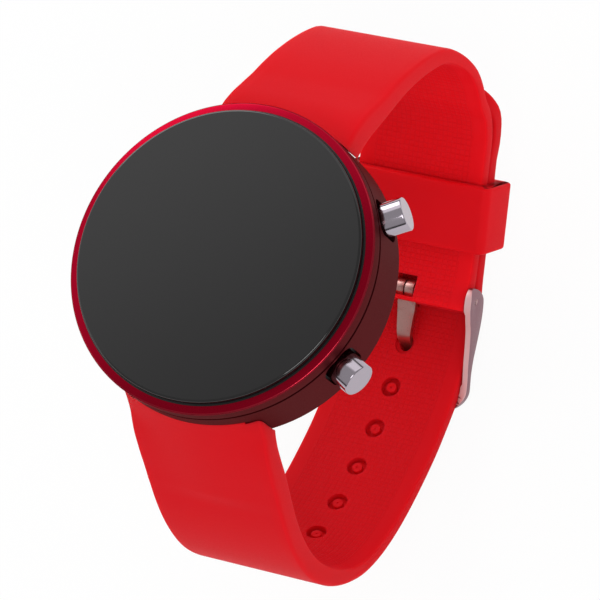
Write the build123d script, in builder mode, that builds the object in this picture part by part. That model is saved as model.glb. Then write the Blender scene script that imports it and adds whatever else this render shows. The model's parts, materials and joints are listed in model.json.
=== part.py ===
from build123d import *
import math
import os

# Mirror-faced LED wristwatch on a moulded silicone strap, buckled as when worn.
# Millimetres. The origin is the centre of the case back's flat outer face.
# +Z goes out through the lens, +Y to 12 o'clock and +X to 3 o'clock.

# Case and bezel
case_radius = 21.0
wall_height = 6.75
back_proud = 0.4
seam_gap = 0.25
seam_depth = 0.7
bezel_side = 2.05
bezel_rise = 0.15
bezel_lip = 1.12
bezel_edge = 0.25
lens_proud = 1.05
lens_thick = 2.0
lens_bevel = 0.2
gasket_wall = 0.25
gasket_seat = 0.15
gasket_show = 0.06
ledge_width = 1.35
ledge_thick = 0.65
collar_fit = 0.05

# Hollow inside the case
board_cavity_wall = 2.8
module_cavity_wall = 4.0
module_flat_wall = 6.2
board_step_z = 5.7
back_floor_z = 1.9

# Case back
back_margin = 5.7
back_plate = 1.0
back_spigot = 0.4
back_opening_margin = 8.8
back_fit = 0.05
back_edge = 0.15
back_gasket_margin = 0.4
back_gasket_width = 0.8
back_gasket_height = 0.45
screw_margin = 1.15
screw_count = 4
screw_start_angle = 45.0
screw_head_radius = 0.85
screw_head_height = 0.45
screw_shank_radius = 0.5
screw_length = 1.9
screw_slot_width = 0.25
screw_slot_depth = 0.2

# Display and module
board_fit = 0.3
board_thick = 0.8
mask_gap = 0.1
film_fit = 0.13
film_thick = 0.2
digit_count = 4
digit_pitch_share = 0.391
digit_width_share = 0.2235
digit_height_share = 0.447
colon_gap = 1.6
colon_spread = 3.2
led_length = 1.6
led_width = 0.8
led_height = 0.35
aperture_margin = 0.25
frame_fit = 0.4
battery_margin = 6.6
battery_thick = 3.2
battery_fit = 0.15
battery_edge = 0.4
insulator_thick = 0.1
insulator_margin = 0.8
clip_thick = 0.2
clip_width = 4.0
clip_margin = 2.5
clip_screw_margin = 0.8
clip_screw_head_radius = 0.7
clip_screw_head_height = 0.3
clip_screw_radius = 0.45
clip_screw_length = 1.9
contact_width = 3.0
contact_length = 9.0
contact_thick = 0.2
chip_side = 3.6
chip_height = 0.7
chip_offset = 2.0
crystal_radius = 0.8
crystal_length = 5.0
crystal_offset = 2.2
small_part_length = 1.2
small_part_width = 0.7
small_part_height = 0.5
small_part_pitch = 2.2
pocket_margin = 0.25

# Pushers at 2 and 4 o'clock
upper_pusher_angle = 29.6
lower_pusher_angle = -26.7
pusher_z = 4.1
pusher_radius = 2.25
pusher_proud = 3.0
pusher_skirt_depth = 1.6
pusher_roof_depth = 0.4
pusher_bore_radius = 2.3
pusher_bore_depth = 2.65
pusher_skirt_wall = 0.3
pusher_edge = 0.3
pusher_travel = 0.8
shank_radius = 0.75
shank_fit = 0.05
shank_depth = 4.8
clip_ring_radius = 1.35
clip_ring_thick = 0.25
clip_ring_margin = 0.35
clip_ring_mouth = 0.9
socket_length = 5.1
socket_height = 5.6
socket_corner = 1.6
socket_depth = 2.1
socket_thick = 1.0
socket_fit = 0.03
seal_radius = 1.35
seal_thick = 0.5
push_spring_radius = 1.62
push_spring_wire = 0.13
push_spring_turns = 4
leaf_thick = 0.15
leaf_width = 1.8
leaf_gap = 0.1
leaf_drop = 2.3
leaf_foot = 1.2
notch_depth = 8.0
notch_width = 4.0
notch_floor = 0.35

# Straps: the wrist space inside the loop sets their run
wrist_width = 70.0
wrist_height = 54.0
root_half_width = 10.1
strap_half_width = 9.65
insert_half_width = 8.0
insert_depth = 4.8
insert_top = 4.7
insert_bottom = 0.5
pocket_fit = 0.15
case_gap = 0.12
root_thick = 4.0
root_drop = 0.8
long_root_thick = 2.9
shoulder_gap = 0.3
shoulder_slope = 0.42
shoulder_drop = 18.0
shoulder_run = 15.0
shoulder_stations = 8
shoulder_thick = 3.3
short_thick = 2.0
long_thick = 2.5
tail_thick = 2.3
stack_gap = 0.15
stretch_angle = 26.7
stretch_before = 9.3
stretch_after = 6.2
stretch_lead = 2.0
tail_beyond = 9.0
tail_gap = 0.6
tail_steps = 4
short_stations = 24
long_stations = 44
tip_corner = 5.0
hole_pitch = 6.6
holes_to_case = 5
holes_to_tip = 2
tongue_hole_run = 12.6
hole_radius = 1.05
hole_stretch = 0.8
recess_radius = 1.35
recess_depth = 0.6
buckle_notch_width = 4.0
buckle_notch_length = 4.6
strap_end_radius = 1.35

# Spring bars
bar_depth = 3.3
bar_z = 2.6
bar_radius = 0.75
bar_bore_radius = 0.55
bar_fit = 0.05
bar_end_gap = 0.4
pin_radius = 0.5
pin_tip_radius = 0.4
pin_reach = 1.0
pin_inner_length = 3.6
pin_lip = 0.25
bar_spring_radius = 0.38
bar_spring_wire = 0.1
bar_spring_turns = 10

# Buckle and keeper
buckle_bar_along = 10.4
buckle_inner_half = 9.75
buckle_plate = 1.0
buckle_reach = 17.6
buckle_back = 4.0
buckle_corner = 4.0
buckle_inner_corner = 1.2
far_bar_depth = 2.4
far_bar_run = 19.5
far_bar_out = 2.35
tongue_width = 1.6
tongue_root_width = 2.9
tongue_root_length = 2.6
tongue_thick = 0.8
tongue_start = 0.95
tongue_start_out = 0.35
tongue_curl_radius = 1.25
tongue_curl_half = 1.7
tongue_curl_gap = 0.3
tongue_tip = 1.4
tongue_stations = 12
keeper_length = 9.5
keeper_wall = 1.7
keeper_fit = 0.25
keeper_corner = 1.2
keeper_inner_corner = 0.5
keeper_edge = 0.3
keeper_offset = -1.35

# Heights that follow from the sizes above
shoulder_z = back_proud + wall_height
bezel_bottom_z = shoulder_z + seam_gap
bezel_edge_z = bezel_bottom_z + bezel_side
bezel_lip_z = bezel_edge_z + bezel_rise
lens_top_z = bezel_lip_z + lens_proud
lens_bottom_z = lens_top_z - lens_thick
ledge_z = lens_bottom_z - gasket_seat
recess_top_z = ledge_z - ledge_thick
collar_top_z = recess_top_z - collar_fit
board_top_z = board_step_z + board_thick
film_bottom_z = lens_bottom_z - film_thick
mask_top_z = film_bottom_z - mask_gap
spigot_z = back_plate + back_spigot
clip_z = spigot_z + insulator_thick + clip_screw_head_height
battery_z = clip_z + clip_thick
battery_top_z = battery_z + battery_thick

# Radii that follow
bezel_inner_radius = case_radius - bezel_lip
lens_radius = bezel_inner_radius - gasket_wall
ledge_inner_radius = bezel_inner_radius - ledge_width
collar_outer_radius = bezel_inner_radius
shoulder_radius = case_radius + shoulder_gap

# Hollow, board and module, each inside the last
board_cavity_radius = case_radius - board_cavity_wall
module_cavity_radius = case_radius - module_cavity_wall
module_flat = case_radius - module_flat_wall
board_radius = board_cavity_radius - board_fit
film_radius = ledge_inner_radius - film_fit
frame_radius = module_cavity_radius - frame_fit
frame_flat = module_flat - frame_fit
battery_radius = frame_radius - battery_margin
clip_reach = frame_flat - clip_margin
clip_screw_y = clip_reach - clip_screw_margin
chip_y = battery_radius + chip_offset
crystal_y = -battery_radius - crystal_offset
digit_pitch = board_radius * digit_pitch_share
digit_width = board_radius * digit_width_share
digit_height = board_radius * digit_height_share

# Case back
back_radius = case_radius - back_margin
back_opening_radius = case_radius - back_opening_margin
back_gasket_inner = back_opening_radius + back_gasket_margin
screw_circle = back_radius - screw_margin
insulator_radius = back_opening_radius - insulator_margin

# Places along a pusher, and of the lug bars
pusher_end = case_radius + pusher_proud
pusher_skirt = case_radius - pusher_skirt_depth
pusher_roof = case_radius - pusher_roof_depth
pusher_bore_floor = case_radius - pusher_bore_depth
shank_end = case_radius - shank_depth
clip_ring_place = shank_end + clip_ring_margin
socket_floor = case_radius - socket_depth
bar_y = case_radius - bar_depth
insert_tip = bar_y - insert_depth / 3

# Straight stretch of the buckled strap, under the keeper
stretch_cos = math.cos(math.radians(stretch_angle))
stretch_sin = math.sin(math.radians(stretch_angle))
stretch_y_share = 0.343
stretch_z_share = -0.813
root_share = 0.23
short_widest_share = 0.586
long_widest_share = 0.42
toward_buckle = (-stretch_cos, -stretch_sin)
from_buckle = (stretch_cos, stretch_sin)
long_out = short_thick + stack_gap


def stretch_point(along, out):
    # Along runs down towards the buckle, out runs away from the wrist.
    y = stretch_y_share * wrist_width - along * stretch_cos + out * stretch_sin
    z = stretch_z_share * wrist_height - along * stretch_sin - out * stretch_cos
    return (y, z)


def wrist_point(shares, widest_share):
    # A place round the wrist space. Beside the case it also keeps its distance from the insert.
    y = shares[0] * wrist_width
    z = shares[1] * wrist_height
    beyond = abs(shares[0]) - root_share
    if beyond > 0:
        room = widest_share * wrist_width - insert_tip
        y = math.copysign(insert_tip + room * beyond / (widest_share - root_share), y)
    return (y, z)


def ramp(value, start, end, low, high):
    share = min(max((value - start) / (end - start), 0), 1)
    return low + (high - low) * share


# Wrist-side line of each strap from the case outwards, as shares of the wrist space
short_run_shares = [
    (0.302, -0.016), (0.360, -0.070), (0.430, -0.137), (0.491, -0.213), (0.544, -0.302),
    (0.576, -0.389), (0.586, -0.472), (0.572, -0.573), (0.533, -0.661),
]
long_run_shares = [
    (-0.264, -0.017), (-0.314, -0.128), (-0.363, -0.243), (-0.400, -0.350), (-0.420, -0.469),
    (-0.414, -0.604), (-0.379, -0.732), (-0.306, -0.832), (-0.168, -0.925), (-0.076, -0.964),
    (0.019, -0.984), (0.114, -0.985), (0.200, -0.953),
]


def short_thickness(run):
    if run < insert_depth * 3:
        return ramp(run, insert_depth, insert_depth * 3, root_thick, shoulder_thick)
    return ramp(run, insert_depth * 3, insert_depth * 5, shoulder_thick, short_thick)


def short_end_thickness(run):
    start = short_path.length - insert_depth
    if run < start:
        return short_thickness(run)
    return ramp(run, start, short_path.length, short_thick, strap_end_radius * 2)


def long_thickness(run):
    if run < insert_depth / 2:
        return ramp(run, 0, insert_depth / 2, root_thick, long_root_thick)
    if run < insert_depth * 2:
        return ramp(run, insert_depth / 2, insert_depth * 2, long_root_thick, shoulder_thick)
    if run < long_path.length / 2:
        return ramp(run, insert_depth * 2, insert_depth * 10, shoulder_thick, long_thick)
    return ramp(run, long_path.length / 2, long_path.length * 2 / 3, long_thick, tail_thick)


def shoulder_depth(run):
    # Deep enough to be trimmed by the cone that hugs the case.
    return root_thick * 2


def offset_point(path, share, out):
    # A place beside a path in the YZ plane, out to the right of its heading.
    spot = path @ share
    heading = path % share
    return (spot.Y + heading.Z * out, spot.Z - heading.Y * out)


def ribbon(path, thickness, stations, side, half, reach=1, inset=0):
    # A band that follows a path in the YZ plane, from its line out to a changing thickness.
    shares = [reach * index / stations for index in range(stations + 1)]
    inner = [offset_point(path, share, side * inset) for share in shares]
    outer = [offset_point(path, share, side * thickness(share * path.length)) for share in shares]
    with BuildPart() as band:
        with BuildSketch(Plane.YZ):
            with BuildLine():
                Spline(*inner)
                Line(inner[-1], outer[-1])
                Spline(*reversed(outer))
                Line(outer[0], inner[0])
            make_face()
        extrude(amount=half, both=True)
    return band.part


def strap_solid(path, thickness, stations, side, reach=1, inset=0):
    # A ribbon narrowed from the case down to the wrist's far side.
    with BuildPart() as band:
        add(ribbon(path, thickness, stations, side, root_half_width, reach, inset))
        with BuildSketch(Plane.XZ):
            with BuildLine():
                Polyline(
                    (-root_half_width, wrist_height),
                    (root_half_width, wrist_height),
                    (root_half_width, 0),
                    (strap_half_width, -wrist_height * 2 / 3),
                    (strap_half_width, -wrist_height * 2),
                    (-strap_half_width, -wrist_height * 2),
                    (-strap_half_width, -wrist_height * 2 / 3),
                    (-root_half_width, 0),
                    close=True,
                )
            make_face()
        extrude(amount=wrist_width, both=True, mode=Mode.INTERSECT)
    return band.part


# Paths of the two straps, drawn as seen from 3 o'clock
bar_y_end, bar_z_end = stretch_point(buckle_bar_along, 0)
with BuildLine(Plane.YZ) as short_line:
    short_bow = Spline(
        (insert_tip, insert_bottom),
        *[wrist_point(pair, short_widest_share) for pair in short_run_shares],
        stretch_point(-stretch_before, 0),
        tangents=[(1, 0), toward_buckle],
    )
    Line(short_bow @ 1, stretch_point(stretch_after, 0))
    Spline(
        stretch_point(stretch_after, 0),
        stretch_point(buckle_bar_along, -strap_end_radius),
        tangents=[toward_buckle, toward_buckle],
    )
short_path = short_line.wire()


def tail_point(run):
    # A place beside the short strap's outer face, counted back from the straight stretch.
    back = short_bow.length - run
    share = back / short_bow.length
    depth = short_thickness(back) + ramp(run, 0, tail_beyond / 4, stack_gap, tail_gap)
    return offset_point(short_bow, share, -depth)


tail_end = short_bow % ((short_bow.length - tail_beyond) / short_bow.length)
tail_heading = (-tail_end.Y, -tail_end.Z)
with BuildLine(Plane.YZ) as long_line:
    long_bow = Spline(
        (-insert_tip, insert_bottom),
        *[wrist_point(pair, long_widest_share) for pair in long_run_shares],
        stretch_point(stretch_after + stretch_lead, long_out),
        stretch_point(stretch_after, long_out),
    )
    Line(stretch_point(stretch_after, long_out), stretch_point(-stretch_before, long_out))
    Spline(
        stretch_point(-stretch_before, long_out),
        *[tail_point(tail_beyond * step / tail_steps) for step in range(1, tail_steps + 1)],
        tangents=[from_buckle, tail_heading],
    )
long_path = long_line.wire()


def long_share(run):
    # Share of the long bow at a run counted back from the straight stretch.
    return (long_bow.length - run) / long_bow.length


def long_point(run, out):
    return offset_point(long_bow, long_share(run), out)


def ring(outer, inner, bottom, top, plane=Plane.XY):
    with BuildPart() as band:
        with BuildSketch(plane.offset(bottom)):
            Circle(outer)
            Circle(inner, mode=Mode.SUBTRACT)
        extrude(amount=top - bottom)
    return band.part


def coil_spring(radius, wire, turns, run):
    with BuildPart() as spring:
        with BuildLine():
            coil = Helix(run / turns, run, radius)
        with BuildSketch(Plane(origin=coil @ 0, z_dir=coil % 0)):
            Circle(wire)
        sweep(path=coil, is_frenet=True)
    return spring.part


def save(piece, name):
    piece.label = name
    export_step(piece, "parts/" + name + ".step")


os.makedirs("parts", exist_ok=True)

# Side outline of the buckle from its bar, as shares of its reach along the strap and outwards
buckle_side_shares = [
    (-0.097, 0.032), (-0.036, 0.122), (0.088, 0.167), (0.236, 0.176), (0.383, 0.165), (0.551, 0.144),
    (0.693, 0.136), (0.797, 0.129), (0.898, 0.100), (0.969, 0.065), (0.990, 0.019), (0.948, -0.001),
    (0.883, 0.022), (0.801, 0.060), (0.731, 0.060), (0.612, 0.037), (0.401, 0.010), (0.212, -0.023),
    (0.075, -0.081), (-0.039, -0.093), (-0.103, -0.042),
]

# Pusher axes: each plane's normal runs out of the case along the pusher
pusher_sides = {"upper": upper_pusher_angle, "lower": lower_pusher_angle}
pusher_planes = {}
for side, angle in pusher_sides.items():
    turn = math.radians(angle)
    pusher_planes[side] = Plane(
        origin=(0, 0, pusher_z),
        x_dir=(-math.sin(turn), math.cos(turn), 0),
        z_dir=(math.cos(turn), math.sin(turn), 0),
    )
strap_sides = {"upper": 1, "lower": -1}

# Plane through the buckle's bar: its normal points away from the wrist, its y toward the buckle's end
bar_plane = Plane(
    origin=(0, bar_y_end, bar_z_end),
    x_dir=(1, 0, 0),
    z_dir=(0, stretch_sin, -stretch_cos),
)
tip_heading = long_path % 1
tip_facing = (0, tip_heading.Z, -tip_heading.Y)

# Case middle: wall, collar for the bezel, stepped hollow, strap pockets and pusher bores
with BuildPart() as case_middle:
    with BuildSketch(Plane.XY.offset(back_proud)):
        Circle(case_radius)
    extrude(amount=wall_height)
    with BuildSketch(Plane.XY.offset(shoulder_z)):
        Circle(collar_outer_radius)
    extrude(amount=collar_top_z - shoulder_z)
    with BuildSketch(Plane.XY.offset(back_proud)):
        Circle(back_radius + back_fit)
    extrude(amount=back_plate - back_proud, mode=Mode.SUBTRACT)
    with BuildSketch(Plane.XY.offset(back_proud)):
        Circle(back_opening_radius)
    extrude(amount=wall_height, mode=Mode.SUBTRACT)
    with BuildSketch(Plane.XY.offset(back_plate)):
        Circle(back_gasket_inner + back_gasket_width)
        Circle(back_gasket_inner, mode=Mode.SUBTRACT)
    extrude(amount=back_gasket_height, mode=Mode.SUBTRACT)
    with BuildSketch(Plane.XY.offset(back_floor_z)):
        Circle(module_cavity_radius)
        Rectangle(case_radius * 2, module_flat * 2, mode=Mode.INTERSECT)
    extrude(amount=wall_height, mode=Mode.SUBTRACT)
    with BuildSketch(Plane.XY.offset(board_step_z)):
        Circle(board_cavity_radius)
    extrude(amount=wall_height, mode=Mode.SUBTRACT)
    with BuildSketch(Plane.XY.offset(back_plate)):
        with PolarLocations(screw_circle, screw_count, screw_start_angle):
            Circle(screw_shank_radius)
    extrude(amount=screw_length, mode=Mode.SUBTRACT)
    for way in strap_sides.values():
        pocket_floor = insert_tip - pocket_fit
        pocket_middle = (pocket_floor + case_radius * 1.1) / 2 * way
        with BuildSketch(Plane.XY.offset(back_proud)):
            with Locations((0, pocket_middle)):
                Rectangle((insert_half_width + pocket_fit) * 2, case_radius * 1.1 - pocket_floor)
        extrude(amount=insert_top + pocket_fit - back_proud, mode=Mode.SUBTRACT)
        with BuildSketch(Plane.YZ):
            with Locations((bar_y * way, bar_z)):
                Circle(pin_tip_radius + bar_fit)
        pin_hole = insert_half_width + pin_reach + pocket_fit * 2
        extrude(amount=pin_hole, both=True, mode=Mode.SUBTRACT)
    for plane in pusher_planes.values():
        with BuildSketch(plane.offset(socket_floor)):
            RectangleRounded(socket_length, socket_height, socket_corner)
        extrude(amount=case_radius * 1.1 - socket_floor, mode=Mode.SUBTRACT)
        with BuildSketch(plane.offset(pusher_bore_floor)):
            Circle(pusher_bore_radius)
        extrude(amount=case_radius - pusher_bore_floor, mode=Mode.SUBTRACT)
        with BuildSketch(plane.offset(shank_end)):
            Circle(shank_radius + shank_fit)
        extrude(amount=case_radius - shank_end, mode=Mode.SUBTRACT)
save(case_middle.part, "case_middle")

# Bezel: snaps over the collar and carries the lens on an inner ledge
with BuildPart() as bezel:
    with BuildSketch(Plane.XZ):
        with BuildLine():
            Polyline(
                (ledge_inner_radius, ledge_z),
                (bezel_inner_radius, ledge_z),
                (bezel_inner_radius, bezel_lip_z),
                (case_radius - bezel_edge, bezel_edge_z),
                (case_radius, bezel_edge_z - bezel_edge),
                (case_radius, bezel_bottom_z),
                (case_radius - seam_depth, bezel_bottom_z),
                (case_radius - seam_depth, shoulder_z),
                (collar_outer_radius + collar_fit, shoulder_z),
                (collar_outer_radius + collar_fit, recess_top_z),
                (ledge_inner_radius, recess_top_z),
                close=True,
            )
        make_face()
    revolve(axis=Axis.Z)
save(bezel.part, "bezel")

# Lens, with its polished rim, and the black gasket that seats it
with BuildPart() as lens:
    with BuildSketch(Plane.XY.offset(lens_bottom_z)):
        Circle(lens_radius)
    extrude(amount=lens_thick)
    chamfer(lens.edges().group_by(Axis.Z)[-1], lens_bevel)
save(lens.part, "lens")

with BuildPart() as lens_gasket:
    with BuildSketch(Plane.XZ):
        with BuildLine():
            Polyline(
                (film_radius + mask_gap, ledge_z),
                (bezel_inner_radius, ledge_z),
                (bezel_inner_radius, bezel_lip_z + gasket_show),
                (lens_radius, bezel_lip_z + gasket_show),
                (lens_radius, lens_bottom_z),
                (film_radius + mask_gap, lens_bottom_z),
                close=True,
            )
        make_face()
    revolve(axis=Axis.Z)
save(lens_gasket.part, "lens_gasket")

with BuildPart() as display_film:
    with BuildSketch(Plane.XY.offset(film_bottom_z)):
        Circle(film_radius)
    extrude(amount=film_thick)
save(display_film.part, "display_film")

# Seven-segment layout: middle of each lamp and whether it lies across
segment_spots = []
for digit in range(digit_count):
    side_step = digit - (digit_count - 1) / 2
    middle = side_step * digit_pitch + math.copysign(colon_gap / 2, side_step)
    for row in (-1, 0, 1):
        segment_spots.append((middle, row * digit_height / 2, True))
    for column in (-1, 1):
        for row in (-1, 1):
            segment_spots.append((middle + column * digit_width / 2, row * digit_height / 4, False))
for row in (-1, 1):
    segment_spots.append((0, row * colon_spread / 2, True))


def segment_boxes(margin):
    # One rectangle for each lamp, on the sketch that is open.
    for x, y, across in segment_spots:
        length = led_length + margin * 2
        width = led_width + margin * 2
        with Locations((x, y)):
            if across:
                Rectangle(length, width)
            else:
                Rectangle(width, length)


with BuildPart() as light_mask:
    with BuildSketch(Plane.XY.offset(board_top_z)):
        Circle(board_radius)
        with BuildSketch(mode=Mode.SUBTRACT):
            segment_boxes(aperture_margin)
    extrude(amount=mask_top_z - board_top_z)
save(light_mask.part, "light_mask")

with BuildPart() as segment_leds:
    with BuildSketch(Plane.XY.offset(board_top_z)):
        segment_boxes(0)
    extrude(amount=led_height)
save(segment_leds.part, "segment_leds")

# Circuit board with its chip, crystal and small parts on the underside
with BuildPart() as circuit_board:
    with BuildSketch(Plane.XY.offset(board_step_z)):
        Circle(board_radius)
    extrude(amount=board_thick)
save(circuit_board.part, "circuit_board")

with BuildPart() as control_chip:
    with BuildSketch(Plane.XY.offset(board_step_z)):
        with Locations((0, chip_y)):
            Rectangle(chip_side, chip_side)
    extrude(amount=-chip_height)
    chamfer(control_chip.edges().group_by(Axis.Z)[0], chip_height / 7)
save(control_chip.part, "control_chip")

with BuildPart() as quartz_crystal:
    with BuildSketch(Plane.YZ):
        with Locations((crystal_y, board_step_z - crystal_radius)):
            Circle(crystal_radius)
    extrude(amount=crystal_length / 2, both=True)
save(quartz_crystal.part, "quartz_crystal")

with BuildPart() as board_parts:
    with BuildSketch(Plane.XY.offset(board_step_z)):
        with GridLocations(small_part_pitch, small_part_pitch, 2, 1):
            with Locations((-chip_side, chip_y), (chip_side, chip_y)):
                Rectangle(small_part_width, small_part_length)
    extrude(amount=-small_part_height)
save(board_parts.part, "board_parts")

# Module frame: holds the battery and stands on the case floor under the board
with BuildPart() as module_frame:
    with BuildSketch(Plane.XY.offset(back_floor_z)):
        Circle(frame_radius)
        Rectangle(case_radius * 2, frame_flat * 2, mode=Mode.INTERSECT)
        Circle(battery_radius + battery_fit, mode=Mode.SUBTRACT)
    extrude(amount=board_step_z - back_floor_z)
    with BuildSketch(Plane.XY.offset(board_step_z)):
        with Locations((0, chip_y)):
            Rectangle((chip_side + small_part_pitch) * 2, chip_side + pocket_margin * 2)
    extrude(amount=-chip_height - pocket_margin, mode=Mode.SUBTRACT)
    with BuildSketch(Plane.XY.offset(board_step_z)):
        with Locations((0, crystal_y)):
            Rectangle(crystal_length + pocket_margin * 2, (crystal_radius + pocket_margin) * 2)
    extrude(amount=-crystal_radius * 2 - pocket_margin, mode=Mode.SUBTRACT)
    with BuildSketch(Plane.XY.offset(back_floor_z)):
        Rectangle(clip_width + pocket_margin, (clip_reach + pocket_margin) * 2)
    extrude(amount=battery_z - back_floor_z, mode=Mode.SUBTRACT)
    with BuildSketch(Plane.XY.offset(back_floor_z)):
        with Locations((0, clip_screw_y), (0, -clip_screw_y)):
            Circle(clip_screw_radius)
    extrude(amount=clip_z + clip_screw_length - back_floor_z, mode=Mode.SUBTRACT)
    for plane in pusher_planes.values():
        notch_height = board_step_z - back_floor_z - notch_floor
        with BuildSketch(plane.offset(frame_radius - notch_depth / 2)):
            with Locations((0, board_step_z - pusher_z - notch_height / 2)):
                Rectangle(notch_width, notch_height)
        extrude(amount=notch_depth, mode=Mode.SUBTRACT)
save(module_frame.part, "module_frame")

with BuildPart() as battery:
    with BuildSketch(Plane.XY.offset(battery_z)):
        Circle(battery_radius)
    extrude(amount=battery_thick)
    fillet(battery.edges(), battery_edge)
save(battery.part, "battery")

with BuildPart() as insulator_sheet:
    with BuildSketch(Plane.XY.offset(spigot_z)):
        Circle(insulator_radius)
    extrude(amount=insulator_thick)
save(insulator_sheet.part, "insulator_sheet")

# Battery clip and its screws under the cell, folded spring contact above it
with BuildPart() as battery_clip:
    with BuildSketch(Plane.XY.offset(clip_z)):
        Rectangle(clip_width, clip_reach * 2)
        Circle(clip_width)
        with Locations((0, clip_screw_y), (0, -clip_screw_y)):
            Circle(clip_screw_radius, mode=Mode.SUBTRACT)
    extrude(amount=clip_thick)
save(battery_clip.part, "battery_clip")

with BuildPart() as clip_screws:
    with BuildSketch(Plane.XY.offset(clip_z)):
        with Locations((0, clip_screw_y), (0, -clip_screw_y)):
            Circle(clip_screw_head_radius)
    extrude(amount=-clip_screw_head_height)
    with BuildSketch(Plane.XY.offset(clip_z)):
        with Locations((0, clip_screw_y), (0, -clip_screw_y)):
            Circle(clip_screw_radius)
    extrude(amount=clip_screw_length)
save(clip_screws.part, "clip_screws")

with BuildPart() as battery_contact:
    with BuildSketch(Plane.XY.offset(board_step_z)):
        Rectangle(contact_width, contact_length)
    extrude(amount=-contact_thick)
    with BuildSketch(Plane.XY.offset(battery_top_z)):
        Rectangle(contact_width, contact_length)
    extrude(amount=contact_thick)
    with BuildSketch(Plane.XY.offset(battery_top_z)):
        with Locations((0, contact_length / 2 - contact_thick / 2)):
            Rectangle(contact_width, contact_thick)
    extrude(amount=board_step_z - battery_top_z)
save(battery_contact.part, "battery_contact")

# Case back, its gasket and screws
with BuildPart() as case_back:
    with BuildSketch():
        Circle(back_radius)
    extrude(amount=back_plate)
    with BuildSketch(Plane.XY.offset(back_plate)):
        Circle(back_opening_radius - back_fit)
    extrude(amount=back_spigot)
    chamfer(case_back.edges().group_by(Axis.Z)[0], back_edge)
    with BuildSketch():
        with PolarLocations(screw_circle, screw_count, screw_start_angle):
            Circle(screw_head_radius + back_fit)
    extrude(amount=screw_head_height, mode=Mode.SUBTRACT)
    with BuildSketch():
        with PolarLocations(screw_circle, screw_count, screw_start_angle):
            Circle(screw_shank_radius + back_fit)
    extrude(amount=back_plate, mode=Mode.SUBTRACT)
save(case_back.part, "case_back")

back_gasket = ring(
    back_gasket_inner + back_gasket_width,
    back_gasket_inner,
    back_plate,
    back_plate + back_gasket_height,
)
save(back_gasket, "back_gasket")

with BuildPart() as back_screws:
    with BuildSketch():
        with PolarLocations(screw_circle, screw_count, screw_start_angle):
            Circle(screw_head_radius)
    extrude(amount=screw_head_height)
    with BuildSketch():
        with PolarLocations(screw_circle, screw_count, screw_start_angle):
            Circle(screw_shank_radius)
    extrude(amount=screw_length)
    with BuildSketch():
        with PolarLocations(screw_circle, screw_count, screw_start_angle):
            Rectangle(screw_head_radius * 3, screw_slot_width)
    extrude(amount=screw_slot_depth, mode=Mode.SUBTRACT)
save(back_screws.part, "back_screws")

# Pushers: cap and shank in one turned piece, with socket, seal, clip ring, spring and leaf
for side, plane in pusher_planes.items():
    with BuildPart() as pusher:
        with BuildSketch(plane.offset(pusher_skirt)):
            Circle(pusher_radius)
        extrude(amount=pusher_end - pusher_skirt)
        cap_rim = pusher.faces().sort_by(Axis(plane.origin, plane.z_dir))[-1].edges()
        fillet(cap_rim, pusher_edge)
        with BuildSketch(plane.offset(pusher_skirt)):
            Circle(pusher_radius - pusher_skirt_wall)
        extrude(amount=pusher_roof - pusher_skirt, mode=Mode.SUBTRACT)
        with BuildSketch(plane.offset(shank_end)):
            Circle(shank_radius)
        extrude(amount=pusher_roof - shank_end + pusher_edge)
        with BuildSketch(plane.offset(clip_ring_place)):
            Circle(shank_radius)
            Circle(shank_radius * 2 / 3, mode=Mode.SUBTRACT)
        extrude(amount=clip_ring_thick, mode=Mode.SUBTRACT)
    save(pusher.part, "pusher_" + side)

    with BuildPart() as socket:
        with BuildSketch(plane.offset(socket_floor)):
            RectangleRounded(
                socket_length - socket_fit * 2,
                socket_height - socket_fit * 2,
                socket_corner - socket_fit,
            )
            Circle(pusher_bore_radius, mode=Mode.SUBTRACT)
        extrude(amount=socket_thick)
    save(socket.part, "pusher_socket_" + side)

    seal = ring(
        seal_radius,
        shank_radius + shank_fit / 2,
        pusher_bore_floor,
        pusher_bore_floor + seal_thick,
        plane,
    )
    save(seal, "pusher_seal_" + side)

    with BuildPart() as clip_ring:
        with BuildSketch(plane.offset(clip_ring_place)):
            Circle(clip_ring_radius)
            Circle(shank_radius * 2 / 3, mode=Mode.SUBTRACT)
            with Locations((0, -clip_ring_radius)):
                Rectangle(clip_ring_mouth, clip_ring_radius * 2, mode=Mode.SUBTRACT)
        extrude(amount=clip_ring_thick)
    save(clip_ring.part, "pusher_clip_" + side)

    spring_run = pusher_roof - pusher_bore_floor - push_spring_wire * 2
    push_spring = coil_spring(push_spring_radius, push_spring_wire, push_spring_turns, spring_run)
    spring_plane = plane.offset(pusher_bore_floor + push_spring_wire)
    save(spring_plane.location * push_spring, "pusher_spring_" + side)

    with BuildPart() as leaf:
        leaf_place = shank_end - pusher_travel - leaf_gap - leaf_thick
        with BuildSketch(plane.offset(leaf_place)):
            with Locations((0, board_step_z - pusher_z - leaf_drop / 2)):
                Rectangle(leaf_width, leaf_drop)
        extrude(amount=leaf_thick)
        with BuildSketch(plane.offset(leaf_place - leaf_foot)):
            with Locations((0, board_step_z - pusher_z - leaf_thick / 2)):
                Rectangle(leaf_width, leaf_thick)
        extrude(amount=leaf_foot)
    save(leaf.part, "switch_leaf_" + side)

# Straps, cut to the case wall beside their inserts
def case_clearance():
    # Sketch for the case outline with the pocket strip left out.
    Circle(case_radius + case_gap)
    Rectangle(insert_half_width * 2, case_radius * 3, mode=Mode.SUBTRACT)


def shoulder_solid(path, side):
    # Root of a strap, hugging the case wall up to the top of its insert.
    bottom_z = insert_top - shoulder_drop
    reach = shoulder_run / path.length
    with BuildPart() as shoulder:
        add(strap_solid(path, shoulder_depth, shoulder_stations, side, reach, root_thick / 2))
        with BuildSketch(Plane.XZ):
            with BuildLine():
                Polyline(
                    (0, bottom_z),
                    (shoulder_radius + shoulder_slope * shoulder_drop, bottom_z),
                    (shoulder_radius, insert_top),
                    (0, insert_top),
                    close=True,
                )
            make_face()
        revolve(axis=Axis.Z, mode=Mode.INTERSECT)
    return shoulder.part


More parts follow.
